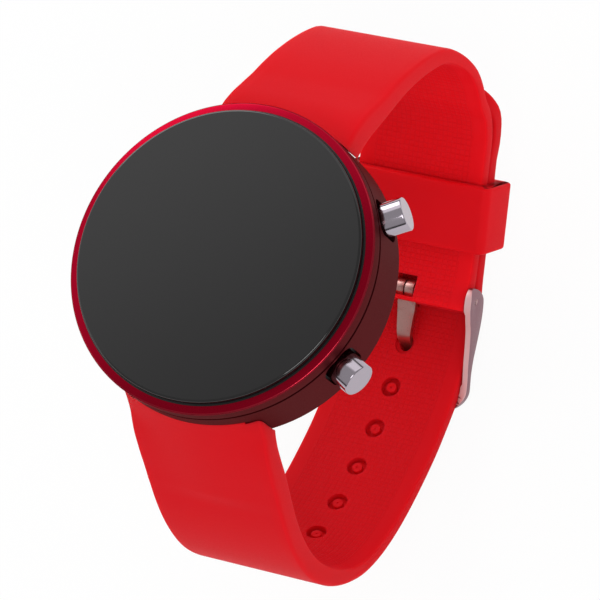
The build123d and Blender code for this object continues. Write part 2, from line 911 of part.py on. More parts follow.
with BuildPart() as strap_short:
    add(strap_solid(short_path, short_end_thickness, short_stations, -1))
    add(shoulder_solid(short_path, -1))
    with BuildSketch(Plane.YZ):
        with Locations((bar_y_end, bar_z_end)):
            Circle(strap_end_radius)
    extrude(amount=strap_half_width, both=True)
    with BuildSketch(Plane.XY.offset(-root_drop)):
        case_clearance()
    extrude(amount=wrist_height, mode=Mode.SUBTRACT)
    with BuildSketch(Plane.YZ):
        with Locations((bar_y, bar_z), (bar_y_end, bar_z_end)):
            Circle(bar_radius + bar_fit)
    extrude(amount=root_half_width * 1.1, both=True, mode=Mode.SUBTRACT)
    with BuildSketch(bar_plane):
        Rectangle(buckle_notch_width, buckle_notch_length)
    extrude(amount=strap_end_radius * 1.6, both=True, mode=Mode.SUBTRACT)
save(strap_short.part, "strap_short")

with BuildPart() as strap_long:
    add(strap_solid(long_path, long_thickness, long_stations, 1))
    add(shoulder_solid(long_path, 1))
    with BuildSketch(Plane.XY.offset(-root_drop)):
        case_clearance()
    extrude(amount=wrist_height, mode=Mode.SUBTRACT)
    with BuildSketch(Plane.YZ):
        with Locations((-bar_y, bar_z)):
            Circle(bar_radius + bar_fit)
    extrude(amount=root_half_width * 1.1, both=True, mode=Mode.SUBTRACT)
    for step in range(-holes_to_tip, holes_to_case + 1):
        run = tongue_hole_run + step * hole_pitch
        if run < 0:
            hole_y, hole_z = stretch_point(stretch_after + run, long_out)
            facing = (0, stretch_sin, -stretch_cos)
        else:
            hole_y, hole_z = long_point(run, 0)
            heading = long_bow % long_share(run)
            facing = (0, heading.Z, -heading.Y)
        hole_plane = Plane(origin=(0, hole_y, hole_z), x_dir=(1, 0, 0), z_dir=facing)
        with BuildSketch(hole_plane):
            SlotCenterToCenter(hole_stretch, hole_radius * 2, rotation=90)
        extrude(amount=long_thick * 1.5, both=True, mode=Mode.SUBTRACT)
        with BuildSketch(hole_plane):
            SlotCenterToCenter(hole_stretch, recess_radius * 2, rotation=90)
        extrude(amount=recess_depth, both=True, mode=Mode.SUBTRACT)
    tip_plane = Plane(origin=long_path @ 1, x_dir=(1, 0, 0), z_dir=tip_facing)
    with BuildSketch(tip_plane):
        Rectangle(strap_half_width * 2.1, tip_corner * 2)
        with Locations((0, tip_corner * 2)):
            RectangleRounded(strap_half_width * 2, tip_corner * 4, tip_corner, mode=Mode.SUBTRACT)
    extrude(amount=tail_thick * 1.5, both=True, mode=Mode.SUBTRACT)
save(strap_long.part, "strap_long")

# Keeper: a loop round both straps on the straight stretch
keeper_depth = long_out + tail_thick + keeper_fit * 2
keeper_start = keeper_offset - keeper_length / 2
keeper_y, keeper_z = stretch_point(keeper_start, (long_out + tail_thick) / 2)
keeper_plane = Plane(
    origin=(0, keeper_y, keeper_z),
    x_dir=(1, 0, 0),
    z_dir=(0, -stretch_cos, -stretch_sin),
)
keeper_half = strap_half_width + keeper_fit
with BuildPart() as keeper:
    with BuildSketch(keeper_plane):
        RectangleRounded(
            (keeper_half + keeper_wall) * 2,
            keeper_depth + keeper_wall * 2,
            keeper_corner,
        )
    extrude(amount=keeper_length)
    chamfer(keeper.faces().filter_by(keeper_plane).edges(), keeper_edge)
    with BuildSketch(keeper_plane):
        RectangleRounded(keeper_half * 2, keeper_depth, keeper_inner_corner)
    extrude(amount=keeper_length, mode=Mode.SUBTRACT)
save(keeper.part, "keeper")

# Buckle frame: a flat loop, open at the ears, cut to a curved side outline
with BuildPart() as buckle_frame:
    buckle_outer_half = buckle_inner_half + buckle_plate
    with BuildSketch(bar_plane):
        with Locations((0, (buckle_reach - buckle_back) / 2)):
            outline = Rectangle(buckle_outer_half * 2, buckle_reach + buckle_back)
        fillet(outline.vertices().group_by(Axis.Z)[0], buckle_corner)
        opening_reach = buckle_reach - far_bar_depth
        with BuildSketch(bar_plane, mode=Mode.SUBTRACT):
            with Locations((0, (opening_reach - buckle_back * 2) / 2)):
                RectangleRounded(
                    buckle_inner_half * 2,
                    opening_reach + buckle_back * 2,
                    buckle_inner_corner,
                )
    extrude(amount=buckle_reach, both=True)
    with BuildSketch(Plane.YZ):
        with BuildLine():
            outline_points = [
                stretch_point(buckle_bar_along + pair[0] * buckle_reach, pair[1] * buckle_reach)
                for pair in buckle_side_shares
            ]
            Spline(*outline_points, periodic=True)
        make_face()
    extrude(amount=buckle_outer_half, both=True, mode=Mode.INTERSECT)
    with BuildSketch(Plane.YZ):
        with Locations((bar_y_end, bar_z_end)):
            Circle(pin_tip_radius + bar_fit)
    extrude(amount=buckle_outer_half, both=True, mode=Mode.SUBTRACT)
save(buckle_frame.part, "buckle_frame")

# Tongue: curls round the bar, passes out through a strap hole and lies on the far bar
tongue_points = [
    stretch_point(buckle_bar_along + tongue_start, tongue_start_out - tongue_thick / 2),
    long_point(tongue_hole_run - tongue_root_length, -tongue_thick * 2),
    long_point(tongue_hole_run - tongue_thick * 0.5, -tongue_thick * 0.6),
    long_point(tongue_hole_run + tongue_thick * 0.3, long_thick / 2),
    long_point(tongue_hole_run + tongue_thick, long_thick),
    long_point(tongue_hole_run + tongue_thick * 3.5, long_thick + tongue_thick * 1.5),
    long_point(far_bar_run, long_thick + far_bar_out - tongue_thick / 2),
    long_point(far_bar_run + tongue_tip, long_thick + far_bar_out - tongue_thick / 2),
]
def tongue_depth(run):
    return tongue_thick


with BuildLine(Plane.YZ) as tongue_line:
    Spline(*tongue_points)
tongue_path = tongue_line.wire()
with BuildPart() as buckle_tongue:
    add(ribbon(tongue_path, tongue_depth, tongue_stations, -1, tongue_root_width / 2))
    shave = tongue_root_width - tongue_width
    with BuildSketch(bar_plane):
        for way in (-1, 1):
            with Locations((way * (tongue_width + shave) / 2, tongue_root_length + buckle_reach / 2)):
                Rectangle(shave, buckle_reach)
    extrude(amount=buckle_reach, both=True, mode=Mode.SUBTRACT)
    with BuildSketch(Plane.YZ):
        with Locations((bar_y_end, bar_z_end)):
            Circle(tongue_curl_radius)
    extrude(amount=tongue_curl_half, both=True)
    with BuildSketch(Plane.YZ):
        with Locations((bar_y_end, bar_z_end)):
            Circle(tongue_curl_radius * 1.2)
    extrude(amount=tongue_curl_gap / 2, both=True, mode=Mode.SUBTRACT)
    with BuildSketch(Plane.YZ):
        with Locations((bar_y_end, bar_z_end)):
            Circle(bar_radius + bar_fit)
    extrude(amount=tongue_curl_half, both=True, mode=Mode.SUBTRACT)
save(buckle_tongue.part, "buckle_tongue")


def spring_bar(spot, tube_half, tip_end, label, tag):
    # Tube, two stepped pins and the spring that pushes them apart, along X.
    with BuildPart() as tube:
        with BuildSketch(Plane.YZ):
            with Locations(spot):
                Circle(bar_radius)
        extrude(amount=tube_half, both=True)
        with BuildSketch(Plane.YZ):
            with Locations(spot):
                Circle(bar_bore_radius)
        extrude(amount=tube_half - pin_lip, both=True, mode=Mode.SUBTRACT)
        with BuildSketch(Plane.YZ):
            with Locations(spot):
                Circle(pin_tip_radius + bar_fit)
        extrude(amount=tube_half, both=True, mode=Mode.SUBTRACT)
    save(tube.part, label + "_bar" + tag)
    shoulder = tube_half - pin_lip - bar_fit
    for side_name, way in (("right", 1), ("left", -1)):
        with BuildPart() as pin:
            with BuildSketch(Plane.YZ.offset(way * (shoulder - pin_inner_length))):
                with Locations(spot):
                    Circle(pin_radius)
            extrude(amount=way * pin_inner_length)
            with BuildSketch(Plane.YZ.offset(way * shoulder)):
                with Locations(spot):
                    Circle(pin_tip_radius)
            extrude(amount=way * (tip_end - shoulder))
        save(pin.part, label + "_pin" + tag + "_" + side_name)
    spring_half = shoulder - pin_inner_length - bar_spring_wire
    spring = coil_spring(bar_spring_radius, bar_spring_wire, bar_spring_turns, spring_half * 2)
    spring_plane = Plane(origin=(-spring_half, spot[0], spot[1]), z_dir=(1, 0, 0))
    save(spring_plane.location * spring, label + "_spring" + tag)


for side, way in strap_sides.items():
    lug_tip = insert_half_width + pocket_fit + pin_reach
    spring_bar((bar_y * way, bar_z), insert_half_width - bar_end_gap, lug_tip, "lug", "_" + side)
buckle_tip = buckle_inner_half + buckle_plate * 0.8
spring_bar((bar_y_end, bar_z_end), buckle_inner_half - bar_end_gap, buckle_tip, "buckle", "")
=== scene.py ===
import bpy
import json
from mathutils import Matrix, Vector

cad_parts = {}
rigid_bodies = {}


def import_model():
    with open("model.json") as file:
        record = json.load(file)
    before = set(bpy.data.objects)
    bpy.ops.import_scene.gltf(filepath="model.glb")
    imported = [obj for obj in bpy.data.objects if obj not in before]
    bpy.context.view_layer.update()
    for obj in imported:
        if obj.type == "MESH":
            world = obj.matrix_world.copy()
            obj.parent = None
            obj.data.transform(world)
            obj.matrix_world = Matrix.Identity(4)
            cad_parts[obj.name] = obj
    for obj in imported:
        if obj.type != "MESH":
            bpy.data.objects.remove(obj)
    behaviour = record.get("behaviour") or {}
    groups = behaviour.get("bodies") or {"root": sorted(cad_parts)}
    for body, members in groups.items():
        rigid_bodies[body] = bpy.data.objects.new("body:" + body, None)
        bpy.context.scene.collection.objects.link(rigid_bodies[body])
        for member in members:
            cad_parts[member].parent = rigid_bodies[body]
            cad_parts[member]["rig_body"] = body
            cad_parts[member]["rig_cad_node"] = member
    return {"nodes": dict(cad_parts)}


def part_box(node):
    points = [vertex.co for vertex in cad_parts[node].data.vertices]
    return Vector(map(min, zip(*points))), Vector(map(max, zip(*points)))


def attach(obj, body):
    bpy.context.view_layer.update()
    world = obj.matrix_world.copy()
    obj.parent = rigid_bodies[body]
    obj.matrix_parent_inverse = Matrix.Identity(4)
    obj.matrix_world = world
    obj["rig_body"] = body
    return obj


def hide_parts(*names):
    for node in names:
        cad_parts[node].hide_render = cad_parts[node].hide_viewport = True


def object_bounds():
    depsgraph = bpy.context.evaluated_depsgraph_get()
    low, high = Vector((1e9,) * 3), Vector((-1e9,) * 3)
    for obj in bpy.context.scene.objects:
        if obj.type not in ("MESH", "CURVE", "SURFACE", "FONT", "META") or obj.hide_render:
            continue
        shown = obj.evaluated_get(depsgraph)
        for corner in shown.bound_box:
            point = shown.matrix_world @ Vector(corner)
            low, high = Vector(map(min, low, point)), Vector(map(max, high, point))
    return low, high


bl_info = {
    "name": "LED wristwatch",
    "version": (1, 0, 0),
    "blender": (4, 5, 0),
    "location": "3D View > Sidebar > Watch",
    "description": "Dresses the solids of a mirror-faced LED wristwatch with finer pieces and finishes",
    "category": "Object",
}

import json
import math

import bmesh
import bpy
import numpy as np
from mathutils import Matrix, Vector

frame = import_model()
cad_box = [list(corner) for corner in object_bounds()]

MM = 0.001

# Wrist-side line of each strap from its insert to its end, Y and Z in millimetres at even steps
LONG_LINE = [
    (-16.10, 0.50), (-18.28, -0.74), (-19.89, -2.68), (-21.06, -4.92), (-22.13, -7.21),
    (-23.32, -9.44), (-24.57, -11.63), (-25.80, -13.85), (-26.90, -16.12), (-27.85, -18.46),
    (-28.60, -20.87), (-29.15, -23.34), (-29.44, -25.85), (-29.47, -28.38), (-29.25, -30.89),
    (-28.83, -33.38), (-28.18, -35.83), (-27.26, -38.18), (-25.99, -40.36), (-24.39, -42.31),
    (-22.55, -44.04), (-20.53, -45.56), (-18.38, -46.89), (-16.14, -48.07), (-13.84, -49.11),
    (-11.50, -50.05), (-9.12, -50.92), (-6.71, -51.69), (-4.26, -52.30), (-1.78, -52.75),
    (0.73, -53.07), (3.25, -53.29), (5.77, -53.34), (8.29, -53.15), (10.77, -52.64),
    (13.16, -51.83), (15.43, -50.73), (17.65, -49.51), (19.90, -48.37), (22.16, -47.24),
    (24.42, -46.10), (26.68, -44.97), (28.94, -43.83), (31.19, -42.70), (33.45, -41.57),
    (35.88, -40.87), (37.95, -39.46), (39.32, -37.34), (40.58, -35.15),
]
LONG_RUN = 121.32
SHORT_LINE = [
    (16.10, 0.50), (18.98, 0.08), (21.62, -1.15), (23.99, -2.85), (26.33, -4.61),
    (28.70, -6.32), (30.98, -8.14), (33.10, -10.15), (35.07, -12.30), (36.90, -14.58),
    (38.51, -17.01), (39.53, -19.74), (40.17, -22.51), (40.46, -25.31), (40.33, -28.14),
    (39.52, -30.80), (38.19, -33.37), (37.24, -36.11), (35.35, -38.12), (32.77, -39.50),
    (30.16, -40.81), (27.55, -42.12), (24.94, -43.43), (22.33, -44.75), (19.72, -46.06),
    (16.99, -47.00), (14.11, -47.37),
]
SHORT_RUN = 75.96

# Thickness along each strap: run and thickness in millimetres
LONG_THICKNESS = [
    (0, 4.0), (2.4, 2.9), (9.6, 3.3), (30, 2.85), (36, 2.6), (43, 2.1), (72, 2.0), (78, 2.3), (84, 2.7),
    (88, 2.6), (92, 2.3), (121.32, 2.3),
]
SHORT_THICKNESS = [
    (0, 4.0), (4.8, 4.0), (12, 3.1), (16, 2.8), (20, 2.55), (24, 2.4), (29, 2.2), (34, 1.85), (38, 1.7),
    (46, 1.7), (52, 2.0), (71.16, 2.0), (75.96, 2.7),
]

# Adjusting holes along the long strap, and the one that the tongue is in
HOLE_RUNS = [49.92, 56.52, 63.12, 69.72, 76.32, 82.92, 89.52, 96.12]
USED_HOLE = 82.92

# Flat bars that the straps are bent from, in millimetres
STRAP_HALF = 10.1
LONG_DEPTH = 2.5
LONG_TIP_CORNER = 5.0
SHORT_DEPTH = 2.7
STRAP_TOP = 4.7

# Spring bars: Y and Z and the bore's radius in millimetres, and the strap's turn at the buckle's bar
BUCKLE_BAR = (14.719, -48.575)
BUCKLE_TURN = math.radians(26.7)
INSERT_BAR = (17.7, 2.6)
BAR_BORE = 0.8

# Slot for the tongue, as two boxes about the buckle's bar; a thin web stays on the strap's wrist side
TONGUE_SLOT = (
    ((-1.65, -0.85, -2.2), (1.65, 2.1, 2.2)),
    ((-1.65, -2.3, -2.2), (1.65, -0.8, 0.6)),
)

# How far the squares moulded inside the strap reach from its middle, in metres
GRIP_FIELD = 0.0079

# Turned profiles in millimetres: radius and height; a pusher's second number is its reach from the middle
BEZEL_PROFILE = [
    (18.53, 8.5), (19.88, 8.5), (19.88, 9.6), (20.84, 9.43), (21.0, 9.27), (21.0, 7.6), (20.7, 7.58),
    (20.7, 7.4), (20.3, 7.4), (20.3, 7.15), (19.93, 7.15), (19.93, 7.85), (18.53, 7.85), (18.53, 8.5),
]
PUSHER_PROFILE = [
    (0.5, 16.2), (0.75, 16.2), (0.75, 20.6), (1.95, 20.6), (1.95, 19.4), (2.25, 19.4), (2.25, 23.95),
    (2.0, 23.95), (0.6, 23.95),
]
PUSHER_ANGLES = {"upper": 29.6, "lower": -26.7}
PUSHER_HEIGHT = 4.1

# Reshaping of the buckle in millimetres: run along the strap from its bar, and the amount there
ARM_DIP = ((0, 3, 5.8, 8.4, 11, 13.5, 17), (0, 0.5, 1.0, 1.35, 1.35, 1.1, 0.5))
ARM_DIP_LESS_ON_WRIST_SIDE = ((3, 8, 11, 14), (0, 0.7, 0.6, 0))
FRAME_DRAWN_IN = ((8, 17.4), (0, 1.0))
TONGUE_HALF = ((2.0, 7, 10, 14), (1.42, 1.0, 0.95, 0.8))

# Lamps: name, place in metres, power in watts and size in metres
LAMPS = (
    ("window", (-0.53, 0.49, 0.336), 1.5, 0.45),
    ("fill", (0.35, -0.3, 0.65), 1.6, 0.3),
)
LAMP_AIM = (0, 5, -20)

# Camera that sees the watch as the photograph does: place in metres, turn in degrees, lens in millimetres
CAMERA_PLACE = (0.228372, -0.103692, 0.454272)
CAMERA_TURN = (18.9082, 21.2405, 18.4465)
CAMERA_LENS = 240


def srgb(code):
    """Linear colour of an sRGB hex value."""
    parts = [int(code[place:place + 2], 16) / 255 for place in (1, 3, 5)]
    return [part / 12.92 if part <= 0.04045 else ((part + 0.055) / 1.055) ** 2.4 for part in parts]


class WatchSizes(bpy.types.PropertyGroup):
    rim_round: bpy.props.FloatProperty(
        name="Lens edge", description="Rounding of the glass rim",
        default=0.0003, min=0.00005, max=0.0008, subtype="DISTANCE", unit="LENGTH")
    bezel_round: bpy.props.FloatProperty(
        name="Bezel edge", description="Softening of the two corners of the bezel's cut edge",
        default=0.00005, min=0.00001, max=0.00012, subtype="DISTANCE", unit="LENGTH")
    strap_outer_round: bpy.props.FloatProperty(
        name="Strap outer edge", description="Rounding of the strap's edges away from the wrist",
        default=0.0005, min=0.0001, max=0.001, subtype="DISTANCE", unit="LENGTH")
    strap_inner_round: bpy.props.FloatProperty(
        name="Strap inner edge", description="Rounding of the strap's edges against the wrist",
        default=0.00035, min=0.0001, max=0.001, subtype="DISTANCE", unit="LENGTH")
    grip_pitch: bpy.props.FloatProperty(
        name="Grip pitch", description="Spacing of the squares moulded inside the strap",
        default=0.00075, min=0.0004, max=0.002, subtype="DISTANCE", unit="LENGTH")
    keeper_round: bpy.props.FloatProperty(
        name="Keeper edge", description="Rounding of the keeper's rims",
        default=0.0004, min=0.0001, max=0.0006, subtype="DISTANCE", unit="LENGTH")


class WatchColours(bpy.types.PropertyGroup):
    silicone: bpy.props.FloatVectorProperty(
        name="Silicone", description="Moulded strap and keeper",
        size=3, subtype="COLOR", min=0, max=1, default=srgb("#D6121C"))
    bezel: bpy.props.FloatVectorProperty(
        name="Bezel", description="Dyed anodised bezel",
        size=3, subtype="COLOR", min=0, max=1, default=srgb("#8E0820"))
    # The bezel edge's brighter red is a painted highlight on the chamfer
    bezel_edge: bpy.props.FloatVectorProperty(
        name="Bezel edge", description="Cut edge that shows brighter dye",
        size=3, subtype="COLOR", min=0, max=1, default=srgb("#A02232"))
    case: bpy.props.FloatVectorProperty(
        name="Case", description="Dyed anodised case wall",
        size=3, subtype="COLOR", min=0, max=1, default=srgb("#5A161C"))
    glass: bpy.props.FloatVectorProperty(
        name="Glass", description="Smoked mirror lens",
        size=3, subtype="COLOR", min=0, max=1, default=srgb("#0C0B0C"))
    steel: bpy.props.FloatVectorProperty(
        name="Steel", description="Buckle, bars and case back",
        size=3, subtype="COLOR", min=0, max=1, default=srgb("#A8969B"))
    chrome: bpy.props.FloatVectorProperty(
        name="Chrome", description="Plated pushers",
        size=3, subtype="COLOR", min=0, max=1, default=srgb("#AFA6B0"))


def add_node(tree, kind, settings=None, links=None):
    """One node with its settings, as properties or socket values, and its incoming links."""
    node = tree.nodes.new(kind)
    for name, value in (settings or {}).items():
        if isinstance(name, str) and hasattr(node, name):
            setattr(node, name, value)
        else:
            node.inputs[name].default_value = value
    for name, source in (links or {}).items():
        tree.links.new(source, node.inputs[name])
    return node


def deselect():
    if bpy.context.object and bpy.context.object.mode != "OBJECT":
        bpy.ops.object.mode_set(mode="OBJECT")
    bpy.ops.object.select_all(action="DESELECT")


def only(piece):
    deselect()
    piece.select_set(True)
    bpy.context.view_layer.objects.active = piece


def edit(piece, mode="VERT"):
    """Edit mode on one piece with nothing selected."""
    only(piece)
    bpy.ops.object.mode_set(mode="EDIT")
    bpy.ops.mesh.select_mode(type=mode)
    bpy.ops.mesh.select_all(action="DESELECT")


def pick(piece, kind, test):
    """Selects the edges or faces of a piece in edit mode that pass a test."""
    mesh = bmesh.from_edit_mesh(piece.data)
    bpy.ops.mesh.select_all(action="DESELECT")
    for part in getattr(mesh, kind):
        if test(part):
            part.select_set(True)
    mesh.select_flush_mode()
    bmesh.update_edit_mesh(piece.data)


def slice_all(place, normal, **settings):
    """Cuts all of the piece in edit mode with a plane through a place in millimetres."""
    bpy.ops.mesh.select_all(action="SELECT")
    bpy.ops.mesh.bisect(plane_co=[part * MM for part in place], plane_no=normal, **settings)


def turn_outwards():
    """Points all faces of the piece in edit mode outwards."""
    bpy.ops.mesh.select_all(action="SELECT")
    bpy.ops.mesh.normals_make_consistent(inside=False)


def apply_modifier(piece, kind, **settings):
    only(piece)
    modifier = piece.modifiers.new(kind.title(), kind)
    for name, value in settings.items():
        setattr(modifier, name, value)
    bpy.ops.object.modifier_apply(modifier=modifier.name)


def cut_with(piece, cutter):
    """Takes the cutter's shape out of the piece and removes the cutter."""
    apply_modifier(piece, "BOOLEAN", operation="DIFFERENCE", solver="EXACT", object=cutter)
    bpy.data.objects.remove(cutter)


def settle(piece, name):
    """Puts a piece's place, turn and scale into its mesh and names both."""
    only(piece)
    bpy.ops.object.transform_apply(location=True, rotation=True, scale=True)
    piece.name = name
    piece.data.name = name
    return piece


def dress(piece, body, nodes, material, angle=30):
    """Smooths a finished piece, gives it its finish and puts it on its body."""
    only(piece)
    bpy.ops.object.shade_smooth_by_angle(angle=math.radians(angle))
    piece.data.materials.clear()
    piece.data.materials.append(material)
    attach(piece, body)
    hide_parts(*nodes)


def turned(name, profile, steps=192, closed=False):
    """A piece turned about Z, ring by ring, from radius and height pairs in millimetres."""
    deselect()
    radius, height = (value * MM for value in profile[0])
    bpy.ops.mesh.primitive_circle_add(vertices=steps, radius=radius, location=(0, 0, height))
    piece = settle(bpy.context.object, name)
    bpy.ops.object.mode_set(mode="EDIT")
    bpy.ops.mesh.select_mode(type="EDGE")
    bpy.ops.mesh.select_all(action="SELECT")
    for step in profile[1:]:
        new_radius, new_height = (value * MM for value in step)
        rise = (0, 0, new_height - height)
        bpy.ops.mesh.extrude_region_move(TRANSFORM_OT_translate={"value": rise})
        share = new_radius / radius
        bpy.ops.transform.resize(value=(share, share, 1), center_override=(0, 0, new_height))
        radius, height = new_radius, new_height
    bpy.ops.mesh.select_all(action="SELECT")
    if closed:
        bpy.ops.mesh.remove_doubles(threshold=0.000002)
    else:
        bpy.ops.mesh.fill_holes(sides=0)
    turn_outwards()
    bpy.ops.object.mode_set(mode="OBJECT")
    return piece


def block(name, low, high):
    """A box between two corners in millimetres."""
    deselect()
    low, high = Vector(low) * MM, Vector(high) * MM
    bpy.ops.mesh.primitive_cube_add(size=1, location=(low + high) / 2)
    piece = bpy.context.object
    piece.scale = high - low
    return settle(piece, name)


def bar_bore(place):
    """A cutter along X for the bore of the spring bar at a Y and Z in millimetres."""
    deselect()
    bpy.ops.mesh.primitive_cylinder_add(
        vertices=48, radius=BAR_BORE * MM, depth=24 * MM,
        location=(0, place[0] * MM, place[1] * MM), rotation=(0, math.pi / 2, 0))
    return settle(bpy.context.object, "bore")


# Finishes

def start_finish(name, values):
    """A new material whose shader has these values, its nodes, its shader and the piece's coordinates."""
    material = bpy.data.materials.new(name)
    material.use_nodes = True
    tree = material.node_tree
    tree.nodes.clear()
    shader = add_node(tree, "ShaderNodeBsdfPrincipled", values)
    add_node(tree, "ShaderNodeOutputMaterial", links={"Surface": shader.outputs["BSDF"]})
    place = add_node(tree, "ShaderNodeTexCoord").outputs["Object"]
    return material, tree, shader, place


def grain(tree, place, size, stretch=(1, 1, 1), detail=2):
    """Noise whose features are about the given size in millimetres."""
    spread = add_node(tree, "ShaderNodeMapping", {"Scale": stretch}, {"Vector": place})
    return add_node(
        tree, "ShaderNodeTexNoise", {"Scale": 1 / (size * MM), "Detail": detail},
        {"Vector": spread.outputs["Vector"]}).outputs["Fac"]


def cloud(tree, shader, source, colour, share):
    """Base colour that wanders a little lighter and darker with the source."""
    dark = [part * (1 - share) for part in colour] + [1]
    light = [min(part * (1 + share), 1) for part in colour] + [1]
    mix = add_node(tree, "ShaderNodeMix", {"data_type": "RGBA", 6: dark, 7: light}, {0: source})
    tree.links.new(mix.outputs[2], shader.inputs["Base Color"])


def skin(tree, shader, source, smooth, rough, depth=0.0):
    """Roughness that follows the source, and where it has a depth in millimetres a relief as well."""
    spread = add_node(
        tree, "ShaderNodeMapRange",
        {"From Min": 0.3, "From Max": 0.7, "To Min": smooth, "To Max": rough}, {"Value": source})
    tree.links.new(spread.outputs["Result"], shader.inputs["Roughness"])
    if not depth:
        return None
    relief = add_node(
        tree, "ShaderNodeBump", {"Strength": 1.0, "Distance": depth * MM}, {"Height": source})
    tree.links.new(relief.outputs["Normal"], shader.inputs["Normal"])
    return relief.outputs["Normal"]


def grip_squares(tree, shader, relief, colour, pitch, wrist_painted_light):
    """Small squares moulded in the wrist side, with painted shade in the grooves between them."""
    flat = add_node(tree, "ShaderNodeUVMap", {"uv_map": "Flat"}).outputs["UV"]
    axes = add_node(tree, "ShaderNodeSeparateXYZ", None, {"Vector": flat})
    waves = []
    for axis in ("X", "Y"):
        turn = add_node(
            tree, "ShaderNodeMath", {"operation": "MULTIPLY", 1: 2 * math.pi / pitch},
            {0: axes.outputs[axis]})
        wave = add_node(tree, "ShaderNodeMath", {"operation": "COSINE"}, {0: turn.outputs[0]})
        waves.append(add_node(
            tree, "ShaderNodeMapRange",
            {"interpolation_type": "SMOOTHSTEP", "From Min": 0.45, "From Max": 0.95,
             "To Min": 1.0, "To Max": 0.0},
            {"Value": wave.outputs[0]}).outputs["Result"])
    squares = add_node(
        tree, "ShaderNodeMath", {"operation": "MULTIPLY"}, {0: waves[0], 1: waves[1]})
    side = add_node(tree, "ShaderNodeMath", {"operation": "ABSOLUTE"}, {0: axes.outputs["Y"]})
    # Masks that are 1 inside and 0 outside: the field of squares, and the whole wrist side
    field, wrist = (
        add_node(
            tree, "ShaderNodeMapRange",
            {"From Min": GRIP_FIELD + start, "From Max": GRIP_FIELD + end, "To Min": 1.0, "To Max": 0.0},
            {"Value": side.outputs[0]}).outputs["Result"]
        for start, end in ((-0.0003, 0), (0.0022, 0.0026)))
    lift = add_node(
        tree, "ShaderNodeMath", {"operation": "MULTIPLY"}, {0: squares.outputs[0], 1: field})
    raised = add_node(
        tree, "ShaderNodeBump", {"Strength": 1.0, "Distance": 0.04 * MM},
        {"Height": lift.outputs[0], "Normal": relief})
    tree.links.new(raised.outputs["Normal"], shader.inputs["Normal"])
    # Painted light: the wrist side's colour is scaled by its share, which is lighter on the short strap
    plain = [part * wrist_painted_light for part in colour] + [1]
    groove_painted_shade = [part * wrist_painted_light * 0.95 for part in colour] + [1]
    # Painted shade: the grooves between the squares are 5% darker than the squares
    groove = add_node(
        tree, "ShaderNodeMix", {"data_type": "RGBA", 6: groove_painted_shade, 7: plain}, {0: lift.outputs[0]})
    near = add_node(
        tree, "ShaderNodeMix", {"data_type": "RGBA", 6: plain}, {0: field, 7: groove.outputs[2]})
    base = add_node(
        tree, "ShaderNodeMix", {"data_type": "RGBA", 6: list(colour) + [1]},
        {0: wrist, 7: near.outputs[2]})
    tree.links.new(base.outputs[2], shader.inputs["Base Color"])


def silicone_finish(name, colour, pitch=0, wrist_painted_light=1.0):
    """Silicone rubber from a spark-eroded mould: soft and matt, light goes a little way into it.

    With a pitch it has the squares inside the strap, and its wrist side is lightened or darkened by a share
    of painted light."""
    material, tree, shader, place = start_finish(name, {
        "IOR": 1.41, "Specular IOR Level": 0.05, "Subsurface Weight": 0.6,
        "Subsurface Radius": (1.0, 0.2, 0.2), "Subsurface Scale": 0.002})
    cloud(tree, shader, grain(tree, place, 12), colour, 0.035)
    # The mould's grain is about 0.05 mm and is drawn coarser, so that it shows
    relief = skin(tree, shader, grain(tree, place, 0.22), 0.46, 0.58, 0.008)
    if pitch:
        grip_squares(tree, shader, relief, colour, pitch, wrist_painted_light)
    return material


def anodised_finish(name, colour, roughness, metallic=1.0):
    """Dyed anodised aluminium: blasted with beads before the dye, so satin with a tight grain."""
    material, tree, shader, place = start_finish(
        name, {"Metallic": metallic, "Specular Tint": (0.45, 0.3, 0.3, 1)})
    cloud(tree, shader, grain(tree, place, 4), colour, 0.05)
    # The beads' dents are about 0.05 mm and are drawn coarser, so that they show
    skin(tree, shader, grain(tree, place, 0.12), roughness * 0.85, roughness * 1.15, 0.003)
    return material


def steel_finish(name, colour, roughness, stretch=(1, 1, 1), depth=0.002, metallic=1.0):
    """Rolled or drawn metal, brushed or tumbled: streaks run along the stretch, or it is even."""
    material, tree, shader, place = start_finish(name, {"Metallic": metallic})
    cloud(tree, shader, grain(tree, place, 3), colour, 0.03)
    # Brush lines are a few hundredths of a millimetre and are drawn coarser, so that they show
    skin(tree, shader, grain(tree, place, 0.15, stretch), roughness * 0.8, roughness * 1.25, depth)
    return material


def plastic_finish(name, colour, roughness, size=0.3, depth=0.006):
    """Moulded or laminated plastic or rubber: an even fine texture, its size and depth in millimetres."""
    material, tree, shader, place = start_finish(name, {"IOR": 1.5})
    cloud(tree, shader, grain(tree, place, size * 12), colour, 0.08)
    skin(tree, shader, grain(tree, place, size), roughness * 0.85, roughness * 1.15, depth)
    return material


def glass_finish(name, colour):
    """Smoked mineral glass over a dark mirror film: nearly black, sharp reflections, faint wipe marks."""
    material, tree, shader, place = start_finish(name, {"IOR": 1.52})
    smears = grain(tree, place, 9, (1, 0.35, 1), 3)
    cloud(tree, shader, smears, colour, 0.06)
    skin(tree, shader, smears, 0.05, 0.085)
    return material


finishes = {}


